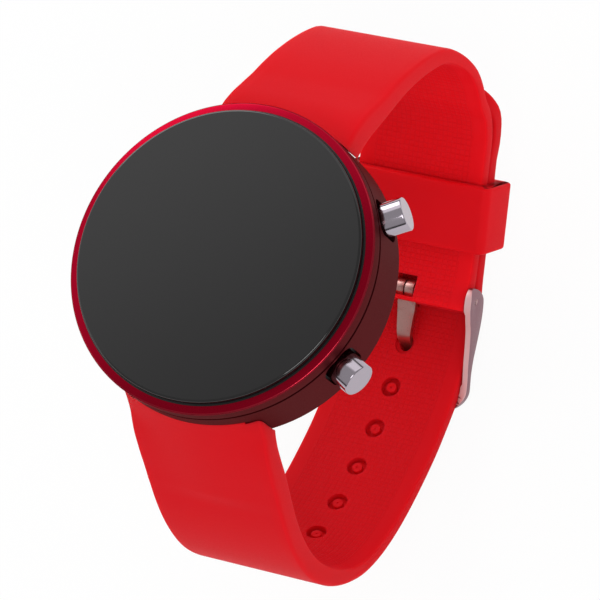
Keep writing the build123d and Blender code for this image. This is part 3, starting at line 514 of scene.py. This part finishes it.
def finish(name):
    """The material of a record slot or of one piece, made once."""
    if name in finishes:
        return finishes[name]
    pitch = bpy.context.scene.watch_sizes.grip_pitch
    colours = bpy.context.scene.watch_colours
    case, bezel, bezel_edge, glass, steel, chrome, silicone = (
        list(getattr(colours, part))
        for part in ("case", "bezel", "bezel_edge", "glass", "steel", "chrome", "silicone"))
    makers = {
        # Wall and bezel are blasted and dyed, so their red shines softly; the cut edge is smoother, and its
        # brighter red is a painted highlight
        "case_red": lambda: anodised_finish("anodised case", case, 0.42, 0.8),
        "bezel_red": lambda: anodised_finish("anodised bezel", bezel, 0.3),
        "bezel_painted_highlight": lambda: anodised_finish("cut bezel edge", bezel_edge, 0.22),
        # A dark mirror that shows the room
        "dark_glass": lambda: glass_finish("smoked glass", glass),
        # Dull black without a highlight
        "black_rubber": lambda: plastic_finish("nitrile rubber", srgb("#0B0A0B"), 0.6),
        # Brushed, so its highlight is drawn out across the lines
        "steel": lambda: steel_finish("brushed steel", steel, 0.3, (0.15, 1, 1)),
        # Plated smooth, so light and dark stand in sharp bands
        "polished_steel": lambda: steel_finish("chrome plate", chrome, 0.1, depth=0.0005),
        # Even and matt all over, as on the keeper
        "red_silicone": lambda: silicone_finish("moulded silicone", silicone),
        # One rubber on both straps; as painted light, the long strap's red is 10% darker and the short
        # strap's wrist side 15% lighter
        "grip_long_painted_shade": lambda: silicone_finish(
            "silicone with grip squares, long strap", [part * 0.9 for part in silicone], pitch),
        "grip_short_painted_light": lambda: silicone_finish(
            "silicone with grip squares, short strap", silicone, pitch, 1.15),
        # Tumbled steel with a soft sheen; the straps' red reflection is painted into the buckle's and
        # tongue's colours, and a brighter steel paints a highlight on the arms' wrist side
        "buckle_steel_red_reflection": lambda: steel_finish("tumbled steel", srgb("#96757D"), 0.36),
        "buckle_painted_highlight": lambda: steel_finish("bright steel edge", srgb("#E8C6C6"), 0.42, metallic=0.45),
        "tongue_steel": lambda: steel_finish("tumbled tongue steel", srgb("#C79A94"), 0.33),
        # Moulded parts inside: dull black frame and chips, green varnish on the board, cloudy red lamps
        "black_plastic": lambda: plastic_finish("black acetal", srgb("#141214"), 0.45),
        "board_green": lambda: plastic_finish("solder mask", srgb("#1E5A34"), 0.35, 0.4),
        "chip_black": lambda: plastic_finish("moulded epoxy", srgb("#1A1A1C"), 0.6, 0.15),
        "lamp_red": lambda: plastic_finish("clouded lamp epoxy", srgb("#B01818"), 0.25, 0.4),
        # Sheets: smooth dark film, rolled brass with fine lines, glossy amber insulator
        "smoke_film": lambda: plastic_finish("smoke film", srgb("#1B181A"), 0.2, 2, 0.001),
        "contact_brass": lambda: steel_finish("rolled brass", srgb("#C9A45A"), 0.28, (1, 0.15, 1)),
        "insulator": lambda: plastic_finish("polyimide sheet", srgb("#C98A2B"), 0.35, 1, 0.002),
    }
    finishes[name] = makers[name]()
    return finishes[name]


# Straps

def along(line, length, run):
    """Places and headings on a line of even steps, by a cubic through its points."""
    points = np.array(line)
    tangents = np.gradient(points, axis=0)
    spot = np.clip(np.asarray(run, float) / length * (len(points) - 1), 0, len(points) - 1 - 1e-9)
    index = spot.astype(int)
    t = (spot - index)[:, None]
    p0, p1, m0, m1 = points[index], points[index + 1], tangents[index], tangents[index + 1]
    place = (
        p0 * (2 * t**3 - 3 * t**2 + 1) + m0 * (t**3 - 2 * t**2 + t)
        + p1 * (3 * t**2 - 2 * t**3) + m1 * (t**3 - t**2)
    )
    heading = (
        p0 * (6 * t**2 - 6 * t) + m0 * (3 * t**2 - 4 * t + 1)
        + p1 * (6 * t - 6 * t**2) + m1 * (3 * t**2 - 2 * t)
    )
    over = np.asarray(run, float) - np.clip(run, 0, length)
    heading /= np.linalg.norm(heading, axis=1)[:, None]
    return place + heading * over[:, None], heading


def flat_strap(name, length, depth, tip_corner=0.0, round_nose=False):
    """A flat bar along X with rounded edges, in short stretches so that it can be laid on a curve."""
    sizes = bpy.context.scene.watch_sizes
    bar = block(name, (0, -STRAP_HALF, 0), (length, STRAP_HALF, depth))
    edit(bar, "EDGE")
    slack = 1e-6
    end, top = length * MM - slack, depth * MM - slack

    def at_end(edge):
        return all(v.co.x > end for v in edge.verts)

    def upright(edge):
        return abs(edge.verts[0].co.z - edge.verts[1].co.z) > slack

    def rim(edge):
        return not all(v.co.x < slack for v in edge.verts) and not (round_nose and at_end(edge))

    if tip_corner:
        pick(bar, "edges", lambda e: at_end(e) and upright(e))
        bpy.ops.mesh.bevel(offset=tip_corner * MM, segments=10, affect="EDGES", clamp_overlap=True)
    pick(bar, "edges", lambda e: all(v.co.z > top for v in e.verts) and rim(e))
    bpy.ops.mesh.bevel(offset=sizes.strap_outer_round, segments=4, affect="EDGES", clamp_overlap=True)
    pick(bar, "edges", lambda e: all(v.co.z < slack for v in e.verts) and rim(e))
    bpy.ops.mesh.bevel(offset=sizes.strap_inner_round, segments=3, affect="EDGES", clamp_overlap=True)
    if round_nose:
        pick(bar, "edges", lambda e: at_end(e) and not upright(e)
             and (e.verts[0].co.z < slack or e.verts[0].co.z > top))
        bpy.ops.mesh.bevel(offset=depth * 0.49 * MM, segments=6, affect="EDGES", clamp_overlap=True)
    # Shorter stretches near the case, where the strap bends most
    near_case, short_step, step, least = 14, 0.6, 1.1, 0.8
    last = length - max(tip_corner, depth / 2 if round_nose else 0)
    run = 0.0
    while run < last - least:
        run += short_step if run < near_case else step
        slice_all((run, 0, 0), (1, 0, 0))
    for across in (-8.2, -6, -4, -2, 0, 2, 4, 6, 8.2):
        slice_all((0, across, 0), (0, 1, 0))
    bpy.ops.object.mode_set(mode="OBJECT")
    return bar


def flat_map(bar):
    """Keeps each point's flat place as the strap's own map, all but the wrist side off the grip field."""
    mesh = bar.data
    wrist_skin, off_field = 0.2 * MM, 0.1
    layer = mesh.uv_layers.new(name="Flat")
    for face in mesh.polygons:
        shift = 0 if face.normal.z < -0.9 and face.center.z < wrist_skin else off_field
        for loop in face.loop_indices:
            point = mesh.vertices[mesh.loops[loop].vertex_index].co
            layer.data[loop].uv = (point.x, point.y + shift)


def hole_cutter(radius, low, high, run, stretch=0.0):
    """A round or stretched plug across the flat strap, in millimetres along and through it."""
    deselect()
    bpy.ops.mesh.primitive_cylinder_add(
        vertices=40, radius=radius * MM, depth=(high - low) * MM, location=(0, 0, (high + low) / 2 * MM))
    cutter = settle(bpy.context.object, "hole")
    for vertex in cutter.data.vertices:
        vertex.co.x += math.copysign(stretch * MM, vertex.co.x) + run * MM
    return cutter


def punch_holes(bar):
    """The tongue's hole goes through; the others keep the mould's nub in their recess."""
    below, above = -1, 5
    used, recess, nub, dimple, outer = 1.02, 1.5, 0.75, 0.2, 1.05
    cut_with(bar, hole_cutter(used, below, above, USED_HOLE))
    cut_with(bar, hole_cutter(recess, below, 0.5, USED_HOLE))
    for run in HOLE_RUNS:
        if run == USED_HOLE:
            continue
        groove = hole_cutter(recess, below, 1.2, run)
        cut_with(groove, hole_cutter(nub, 0.3, 2, run))
        cut_with(bar, groove)
        cut_with(bar, hole_cutter(dimple, 0, 0.45, run))
        cut_with(bar, hole_cutter(outer, 1.7, above, run, 0.4))


def both_faces(line, length, side, thickness, run):
    """Places on the strap's wrist side and on its outer side, Y and Z in millimetres."""
    place, heading = along(line, length, run)
    out = np.stack([heading[:, 1], -heading[:, 0]], 1) * side
    return place, place + out * np.interp(run, *zip(*thickness))[:, None]


def lay_strap(bar, line, length, side, depth, thickness):
    """Lays the flat bar on its line, narrows it away from the case and makes its root hug the case."""
    flat = np.zeros(len(bar.data.vertices) * 3)
    bar.data.vertices.foreach_get("co", flat)
    flat = flat.reshape(-1, 3) / MM
    run, across, share = flat[:, 0], flat[:, 1], flat[:, 2] / depth
    place, outer = both_faces(line, length, side, thickness, run)
    # Full width at the case, and the buckle's width 36 mm below it
    x = across * np.interp(-place[:, 1], (0, 36), (1, 0.9554))
    # The root's outer side goes down a cone round the case, then out onto the strap's own line
    root_end, insert_end = 15.0, 3
    top, cone_top, cone_slope, soft = 5.2, 21.3, 0.42, 0.7
    edge = both_faces(line, length, side, thickness, np.linspace(0, root_end, 120))[1]
    drop = np.clip((run - insert_end) / (root_end - insert_end), 0, 1)
    level = top + (edge[-1, 1] - top) * drop
    ribbon = np.interp(-level, np.maximum.accumulate(-edge[:, 1]), np.abs(edge[:, 0]))
    cone_radius = cone_top + cone_slope * (STRAP_TOP - level)
    cone = np.sqrt(np.maximum(cone_radius**2 - x**2, 1))
    reach = (ribbon + cone + np.sqrt((ribbon - cone) ** 2 + soft**2)) / 2 - soft / 2 * (1 - drop)
    start = abs(line[0][0])
    reach = start + (reach - start) * np.clip(run / insert_end, 0, 1)
    hug = np.stack([math.copysign(1, line[0][0]) * reach, level], 1)
    outer = np.where((run < root_end)[:, None], hug, outer)
    laid = place + (outer - place) * share[:, None]
    points = np.stack([x, laid[:, 0], laid[:, 1]], 1) * MM
    bar.data.vertices.foreach_set("co", points.ravel())
    bar.data.update()
    edit(bar, "FACE")
    turn_outwards()
    slice_all((0, 0, STRAP_TOP), (0, 0, 1), use_fill=True, clear_outer=True)
    bpy.ops.object.mode_set(mode="OBJECT")


def clear_case(bar, way):
    """Cuts the strap's shoulders back to the case wall and bores the insert for its spring bar."""
    wall, height, middle, insert_half = 21.12, 9, 3.7, 8
    for hand in (-1, 1):
        deselect()
        bpy.ops.mesh.primitive_cylinder_add(
            vertices=256, radius=wall * MM, depth=height * MM, location=(0, 0, middle * MM))
        cutter = settle(bpy.context.object, "wall")
        edit(cutter, "FACE")
        slice_all((insert_half * hand, 0, 0), (-hand, 0, 0), use_fill=True, clear_outer=True)
        bpy.ops.object.mode_set(mode="OBJECT")
        cut_with(bar, cutter)
    cut_with(bar, bar_bore((INSERT_BAR[0] * way, INSERT_BAR[1])))


class WATCH_OT_straps(bpy.types.Operator):
    """Long and short silicone straps on the lines of their solids"""
    bl_idname = "watch.straps"
    bl_label = "Straps"

    def execute(self, context):
        bar = flat_strap("strap_long_moulded", LONG_RUN, LONG_DEPTH, LONG_TIP_CORNER)
        punch_holes(bar)
        flat_map(bar)
        lay_strap(bar, LONG_LINE, LONG_RUN, 1, LONG_DEPTH, LONG_THICKNESS)
        clear_case(bar, -1)
        dress(bar, "case", ["strap_long"], finish("grip_long_painted_shade"), 35)

        bar = flat_strap(
            "strap_short_moulded", SHORT_RUN + SHORT_DEPTH / 2, SHORT_DEPTH, round_nose=True)
        flat_map(bar)
        lay_strap(bar, SHORT_LINE, SHORT_RUN, -1, SHORT_DEPTH, SHORT_THICKNESS)
        clear_case(bar, 1)
        cut_with(bar, bar_bore(BUCKLE_BAR))
        for low, high in TONGUE_SLOT:
            notch = block("notch", low, high)
            notch.rotation_euler = (BUCKLE_TURN, 0, 0)
            notch.location = (0, BUCKLE_BAR[0] * MM, BUCKLE_BAR[1] * MM)
            cut_with(bar, settle(notch, "notch"))
        dress(bar, "case", ["strap_short"], finish("grip_short_painted_light"), 35)
        return {"FINISHED"}


class WATCH_OT_keeper(bpy.types.Operator):
    """Silicone keeper: a tube of soft rectangular section with rounded rims"""
    bl_idname = "watch.keeper"
    bl_label = "Keeper"

    def execute(self, context):
        wall, half, depth, length, corner = 1.7, 11.6, 8.35, 9.5, 1.2
        band = block("keeper_moulded", (-half, -depth / 2, 0), (half, depth / 2, length))
        edit(band, "EDGE")
        pick(band, "edges", lambda e: abs(e.verts[0].co.z - e.verts[1].co.z) > 1e-5)
        bpy.ops.mesh.bevel(offset=corner * MM, segments=6, affect="EDGES")
        bpy.ops.mesh.select_mode(type="FACE")
        pick(band, "faces", lambda f: abs(f.normal.z) > 0.9)
        bpy.ops.mesh.inset(thickness=wall * MM, use_even_offset=True)
        bpy.ops.mesh.bridge_edge_loops()
        bpy.ops.mesh.select_mode(type="EDGE")
        pick(band, "edges", lambda e: abs(e.verts[0].co.z - e.verts[1].co.z) < 1e-6
             and len(e.link_faces) == 2 and e.calc_face_angle(0) > 1)
        bpy.ops.mesh.bevel(offset=context.scene.watch_sizes.keeper_round, segments=3, affect="EDGES")
        for cut in (2.4, length / 2, 7.1):
            slice_all((0, 0, cut), (0, 0, 1))
        turn_outwards()
        bpy.ops.object.mode_set(mode="OBJECT")
        # Its length runs along the strap, and its depth goes through the strap
        low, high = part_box("keeper")
        heading = Vector((0, -math.cos(BUCKLE_TURN), -math.sin(BUCKLE_TURN)))
        outward = Vector((0, math.sin(BUCKLE_TURN), -math.cos(BUCKLE_TURN)))
        turn = Matrix((outward.cross(heading), outward, heading)).transposed().to_4x4()
        band.matrix_world = Matrix.Translation((low + high) / 2 - heading * length / 2 * MM) @ turn
        settle(band, "keeper_moulded")
        dress(band, "keeper", ["keeper"], finish("red_silicone"), 40)
        return {"FINISHED"}


class WATCH_OT_lens(bpy.types.Operator):
    """Smoked glass with a polished rim"""
    bl_idname = "watch.lens"
    bl_label = "Lens"

    def execute(self, context):
        low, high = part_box("lens")
        radius, bottom, top = high.x / MM, low.z / MM, high.z / MM
        inner, ring = radius * 0.97, radius * 0.985
        lens = turned("lens_glass", [
            (inner, bottom), (radius, bottom), (radius, top), (ring, top), (inner, top)])
        edit(lens, "EDGE")
        pick(lens, "edges", lambda e: all(
            v.co.z > high.z - 1e-6 and math.hypot(v.co.x, v.co.y) > high.x * 0.999 for v in e.verts))
        bpy.ops.mesh.bevel(offset=context.scene.watch_sizes.rim_round, segments=4, affect="EDGES")
        bpy.ops.object.mode_set(mode="OBJECT")
        dress(lens, "case", ["lens"], finish("dark_glass"))
        return {"FINISHED"}


class WATCH_OT_bezel(bpy.types.Operator):
    """Turned bezel: a dyed top that slopes outwards, a cut edge and a blasted side"""
    bl_idname = "watch.bezel"
    bl_label = "Bezel"

    def execute(self, context):
        edge_foot, wall = 0.00915, 0.0207
        bezel = turned("bezel_turned", BEZEL_PROFILE, 256, True)
        edit(bezel, "EDGE")
        pick(bezel, "edges", lambda e: all(
            v.co.z > edge_foot and math.hypot(v.co.x, v.co.y) > wall for v in e.verts))
        bpy.ops.mesh.bevel(offset=context.scene.watch_sizes.bezel_round, segments=2, affect="EDGES")
        bpy.ops.object.mode_set(mode="OBJECT")
        dress(bezel, "case", ["bezel"], finish("bezel_red"))
        bezel.data.materials.append(finish("case_red"))
        bezel.data.materials.append(finish("bezel_painted_highlight"))
        # The chamfer gets the brighter red, a painted highlight
        side, highlight_edge = 1, 2
        for face in bezel.data.polygons:
            if math.hypot(face.center.x, face.center.y) > wall and face.normal.z < 0.95:
                face.material_index = side if face.normal.z < 0.35 else highlight_edge
        return {"FINISHED"}


class WATCH_OT_pushers(bpy.types.Operator):
    """Two plated caps on their shanks"""
    bl_idname = "watch.pushers"
    bl_label = "Pushers"

    def execute(self, context):
        face, rim, soft = 0.0239, 0.0022, 0.0002
        for side, angle in PUSHER_ANGLES.items():
            name = "pusher_cap_" + side
            cap = turned(name, PUSHER_PROFILE, 96)
            edit(cap, "EDGE")
            pick(cap, "edges", lambda e: all(
                v.co.z > face and math.hypot(v.co.x, v.co.y) > rim for v in e.verts))
            bpy.ops.mesh.bevel(offset=soft, segments=4, affect="EDGES")
            bpy.ops.object.mode_set(mode="OBJECT")
            cap.rotation_euler = (0, math.pi / 2, math.radians(angle))
            cap.location = (0, 0, PUSHER_HEIGHT * MM)
            settle(cap, name)
            dress(cap, "pusher_" + side, ["pusher_" + side], finish("polished_steel"))
        return {"FINISHED"}


def from_bar(piece):
    """Across, along the strap and outwards from the buckle's bar for each point, in millimetres."""
    points = np.zeros(len(piece.data.vertices) * 3)
    piece.data.vertices.foreach_get("co", points)
    points = points.reshape(-1, 3) / MM - (0, *BUCKLE_BAR)
    run = -points[:, 1] * math.cos(BUCKLE_TURN) - points[:, 2] * math.sin(BUCKLE_TURN)
    out = points[:, 1] * math.sin(BUCKLE_TURN) - points[:, 2] * math.cos(BUCKLE_TURN)
    return points[:, 0], run, out


def back_from_bar(piece, across, run, out):
    """Puts a piece's points where their places from the buckle's bar say."""
    points = np.stack([
        across,
        BUCKLE_BAR[0] - run * math.cos(BUCKLE_TURN) + out * math.sin(BUCKLE_TURN),
        BUCKLE_BAR[1] - run * math.sin(BUCKLE_TURN) - out * math.cos(BUCKLE_TURN)], 1) * MM
    piece.data.vertices.foreach_set("co", points.ravel())
    piece.data.update()


def shape_frame(piece):
    """Dips the arms towards the wrist between the bar and the corners, and draws the end in."""
    across, run, out = from_bar(piece)
    wrist_side, arm_start, arm_blend = 1.45, 8.2, 1.5
    inner_face, near, inner_move = 9.75, 0.06, 0.22
    dip = np.interp(run, *ARM_DIP)
    dip -= np.where(out < wrist_side, np.interp(run, *ARM_DIP_LESS_ON_WRIST_SIDE), 0)
    arm = np.clip((np.abs(across) - arm_start) / arm_blend, 0, 1)
    inside = (np.abs(np.abs(across) - inner_face) < near) & (run > 1.5) & (run < 13)
    across = np.where(inside, across + np.sign(across) * inner_move, across)
    run = run - np.interp(run, *FRAME_DRAWN_IN)
    back_from_bar(piece, across, run, out - dip * arm)


def shape_tongue(piece):
    """Narrows the tongue's curl, and tapers its plate from there to the hole and on to its tip."""
    across, run, out = from_bar(piece)
    curl_end, middle, curl_share = 2.0, 0.5, 0.82
    plate = (run > curl_end) & (np.abs(across) > middle)
    half = np.where(plate, np.interp(run, *TONGUE_HALF), np.abs(across) * curl_share)
    back_from_bar(piece, np.sign(across) * half, run, out)


class WATCH_OT_buckle(bpy.types.Operator):
    """Buckle frame and tongue, bent to shape, with their edges broken by tumbling"""
    bl_idname = "watch.buckle"
    bl_label = "Buckle"

    def execute(self, context):
        for node, shape, steel, soft in (
                ("buckle_frame", shape_frame, "buckle_steel_red_reflection", 0.00014),
                ("buckle_tongue", shape_tongue, "tongue_steel", 0.0001)):
            copy = frame["nodes"][node].copy()
            copy.data = copy.data.copy()
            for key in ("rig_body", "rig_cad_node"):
                del copy[key]
            copy.parent = None
            context.scene.collection.objects.link(copy)
            shape(copy)
            edit(copy)
            bpy.ops.mesh.select_all(action="SELECT")
            bpy.ops.mesh.remove_doubles(threshold=0.000001)
            bpy.ops.mesh.select_all(action="SELECT")
            bpy.ops.mesh.dissolve_limited(angle_limit=math.radians(1))
            bpy.ops.object.mode_set(mode="OBJECT")
            apply_modifier(copy, "BEVEL", width=soft, segments=3, limit_method="ANGLE",
                           angle_limit=math.radians(50), use_clamp_overlap=True)
            settle(copy, node + "_tumbled")
            dress(copy, node, [node], finish(steel))
            if node == "buckle_frame":
                self.paint_arm_highlight(copy)
        return {"FINISHED"}

    def paint_arm_highlight(self, buckle):
        """Paints a highlight on the arms' wrist side with the brighter steel."""
        # Painted highlight: the arms' wrist side gets a brighter pinkish steel
        buckle.data.materials.append(finish("buckle_painted_highlight"))
        for face in buckle.data.polygons:
            outward = face.normal.y * math.sin(BUCKLE_TURN) - face.normal.z * math.cos(BUCKLE_TURN)
            if outward < -0.5 and abs(face.center.x) > 9.7 * MM:
                face.material_index = 1


# Finish of each solid that shows as it is; the ones not named here, such as springs and bars, are steel
NODE_FINISHES = {
    "case_middle": "case_red", "back_screws": "polished_steel",
    "back_gasket": "black_rubber", "lens_gasket": "black_rubber", "display_film": "smoke_film",
    "light_mask": "black_plastic", "segment_leds": "lamp_red", "circuit_board": "board_green",
    "control_chip": "chip_black", "board_parts": "chip_black", "module_frame": "black_plastic",
    "insulator_sheet": "insulator", "battery_contact": "contact_brass",
    "pusher_socket_upper": "black_plastic", "pusher_socket_lower": "black_plastic",
    "pusher_seal_upper": "black_rubber", "pusher_seal_lower": "black_rubber",
    "switch_leaf_upper": "contact_brass", "switch_leaf_lower": "contact_brass",
}


class WATCH_OT_solids(bpy.types.Operator):
    """Finishes for the solids that show as they are"""
    bl_idname = "watch.solids"
    bl_label = "Inner parts and case"

    def execute(self, context):
        for node, piece in frame["nodes"].items():
            if piece.hide_render:
                continue
            slot = NODE_FINISHES.get(node, "steel")
            piece.data.materials.clear()
            piece.data.materials.append(finish(slot))
        return {"FINISHED"}


def seen_directly(tree):
    """Whether a ray comes from a glossy surface, and whether it comes from the camera or through glass."""
    ray = add_node(tree, "ShaderNodeLightPath")
    seen = add_node(
        tree, "ShaderNodeMath", {"operation": "MAXIMUM"},
        {0: ray.outputs["Is Camera Ray"], 1: ray.outputs["Is Transmission Ray"]})
    return ray.outputs["Is Glossy Ray"], seen.outputs[0]


def paper_finish():
    """White paper sweep: matt and nearly white, glows evenly where it is seen, keeps the watch's shadow.

    From below it is clear."""
    seen_glow, mirrored_glow = 0.93, 0.4
    paper = bpy.data.materials.new("white paper sweep")
    paper.use_nodes = True
    tree = paper.node_tree
    tree.nodes.clear()
    place = add_node(tree, "ShaderNodeTexCoord").outputs["Object"]
    fibre = add_node(tree, "ShaderNodeValToRGB", None, {"Fac": grain(tree, place, 2)})
    fibre.color_ramp.elements[0].color = (0.90, 0.90, 0.90, 1)
    fibre.color_ramp.elements[1].color = (0.93, 0.93, 0.93, 1)
    lit = add_node(
        tree, "ShaderNodeBsdfDiffuse", {"Roughness": 0.5}, {"Color": fibre.outputs["Color"]})
    glow = add_node(tree, "ShaderNodeEmission", {"Color": (1, 1, 1, 1), "Strength": 1.0})
    glossy, seen = seen_directly(tree)
    bright = add_node(tree, "ShaderNodeMath", {"operation": "MULTIPLY", 1: seen_glow}, {0: seen})
    share = add_node(
        tree, "ShaderNodeMath", {"operation": "MULTIPLY_ADD", 1: mirrored_glow},
        {0: glossy, 2: bright.outputs[0]})
    mix = add_node(
        tree, "ShaderNodeMixShader", None,
        {0: share.outputs[0], 1: lit.outputs[0], 2: glow.outputs[0]})
    below = add_node(tree, "ShaderNodeNewGeometry").outputs["Backfacing"]
    clear = add_node(tree, "ShaderNodeBsdfTransparent")
    top = add_node(
        tree, "ShaderNodeMixShader", None, {0: below, 1: mix.outputs[0], 2: clear.outputs[0]})
    add_node(tree, "ShaderNodeOutputMaterial", None, {"Surface": top.outputs[0]})
    return paper


def studio_world():
    """White where it is seen and even on matt surfaces.

    Mirrors show a bright half and a dim half over a dark foot."""
    bright_side, matt_level = (-0.563, 0.693, -0.447), 0.82
    world = bpy.data.worlds.new("studio")
    world.use_nodes = True
    tree = world.node_tree
    tree.nodes.clear()
    glossy, seen = seen_directly(tree)
    way = add_node(tree, "ShaderNodeTexCoord").outputs["Generated"]
    towards = add_node(
        tree, "ShaderNodeVectorMath", {"operation": "DOT_PRODUCT", 1: bright_side}, {0: way})
    card = add_node(
        tree, "ShaderNodeMapRange",
        {"interpolation_type": "SMOOTHSTEP", "From Min": -0.06, "From Max": 0.07,
         "To Min": 0.5, "To Max": 1.3}, {"Value": towards.outputs["Value"]})
    height = add_node(tree, "ShaderNodeSeparateXYZ", None, {"Vector": way})
    foot = add_node(
        tree, "ShaderNodeMapRange",
        {"interpolation_type": "SMOOTHSTEP", "From Min": 0.1, "From Max": 0.3,
         "To Min": 0.12, "To Max": 1.0}, {"Value": height.outputs["Z"]})
    mirrored = add_node(
        tree, "ShaderNodeMath", {"operation": "MULTIPLY"},
        {0: card.outputs["Result"], 1: foot.outputs["Result"]})
    level = add_node(
        tree, "ShaderNodeMix", {"data_type": "FLOAT", 2: matt_level},
        {0: glossy, 3: mirrored.outputs[0]})
    level = add_node(
        tree, "ShaderNodeMix", {"data_type": "FLOAT", 3: 1.0}, {0: seen, 2: level.outputs[0]})
    sky = add_node(
        tree, "ShaderNodeBackground", {"Color": (1, 1, 1, 1)}, {"Strength": level.outputs[0]})
    add_node(tree, "ShaderNodeOutputWorld", None, {"Surface": sky.outputs[0]})
    return world


class WATCH_OT_stage(bpy.types.Operator):
    """Pale floor, soft lamps and the camera at the photograph's angle"""
    bl_idname = "watch.stage"
    bl_label = "Stage"

    def execute(self, context):
        scene = context.scene
        scene.view_settings.view_transform = "Standard"
        deselect()
        gap = 0.00005
        bpy.ops.mesh.primitive_plane_add(size=6, location=(0, 0, cad_box[0][2] - gap))
        floor = bpy.context.object
        floor.name = "floor"
        floor.data.materials.append(paper_finish())
        scene.world = studio_world()

        for name, place, power, size in LAMPS:
            lamp = bpy.data.lights.new(name, "AREA")
            lamp.energy = power
            lamp.size = size
            holder = bpy.data.objects.new(name, lamp)
            holder.location = place
            aim = Vector(LAMP_AIM) * MM - Vector(place)
            holder.rotation_euler = aim.to_track_quat("-Z", "Y").to_euler()
            scene.collection.objects.link(holder)

        camera = bpy.data.cameras.new("camera")
        camera.lens = CAMERA_LENS
        camera.sensor_width = 36
        camera.clip_start = 0.05
        camera.clip_end = 20
        holder = bpy.data.objects.new("camera", camera)
        holder.location = CAMERA_PLACE
        holder.rotation_euler = [math.radians(turn) for turn in CAMERA_TURN]
        scene.collection.objects.link(holder)
        scene.camera = holder
        return {"FINISHED"}


class WATCH_PT_panel(bpy.types.Panel):
    """The watch's pieces, sizes and colours"""
    bl_idname = "WATCH_PT_panel"
    bl_label = "LED wristwatch"
    bl_space_type = "VIEW_3D"
    bl_region_type = "UI"
    bl_category = "Watch"

    def draw(self, context):
        for group in (context.scene.watch_sizes, context.scene.watch_colours):
            for name in group.bl_rna.properties.keys():
                if name not in ("rna_type", "name"):
                    self.layout.prop(group, name)
        for operator in OPERATORS:
            self.layout.operator(operator.bl_idname)


OPERATORS = (
    WATCH_OT_stage, WATCH_OT_lens, WATCH_OT_bezel, WATCH_OT_pushers, WATCH_OT_straps,
    WATCH_OT_keeper, WATCH_OT_buckle, WATCH_OT_solids,
)
CLASSES = (WatchSizes, WatchColours, *OPERATORS, WATCH_PT_panel)


def register():
    for kind in CLASSES:
        bpy.utils.register_class(kind)
    bpy.types.Scene.watch_sizes = bpy.props.PointerProperty(type=WatchSizes)
    bpy.types.Scene.watch_colours = bpy.props.PointerProperty(type=WatchColours)


def unregister():
    del bpy.types.Scene.watch_colours
    del bpy.types.Scene.watch_sizes
    for kind in reversed(CLASSES):
        bpy.utils.unregister_class(kind)


def main():
    register()
    bpy.ops.watch.stage()
    bpy.ops.watch.lens()
    bpy.ops.watch.bezel()
    bpy.ops.watch.pushers()
    bpy.ops.watch.straps()
    bpy.ops.watch.keeper()
    bpy.ops.watch.buckle()
    bpy.ops.watch.solids()


if __name__ == "__main__":
    main()
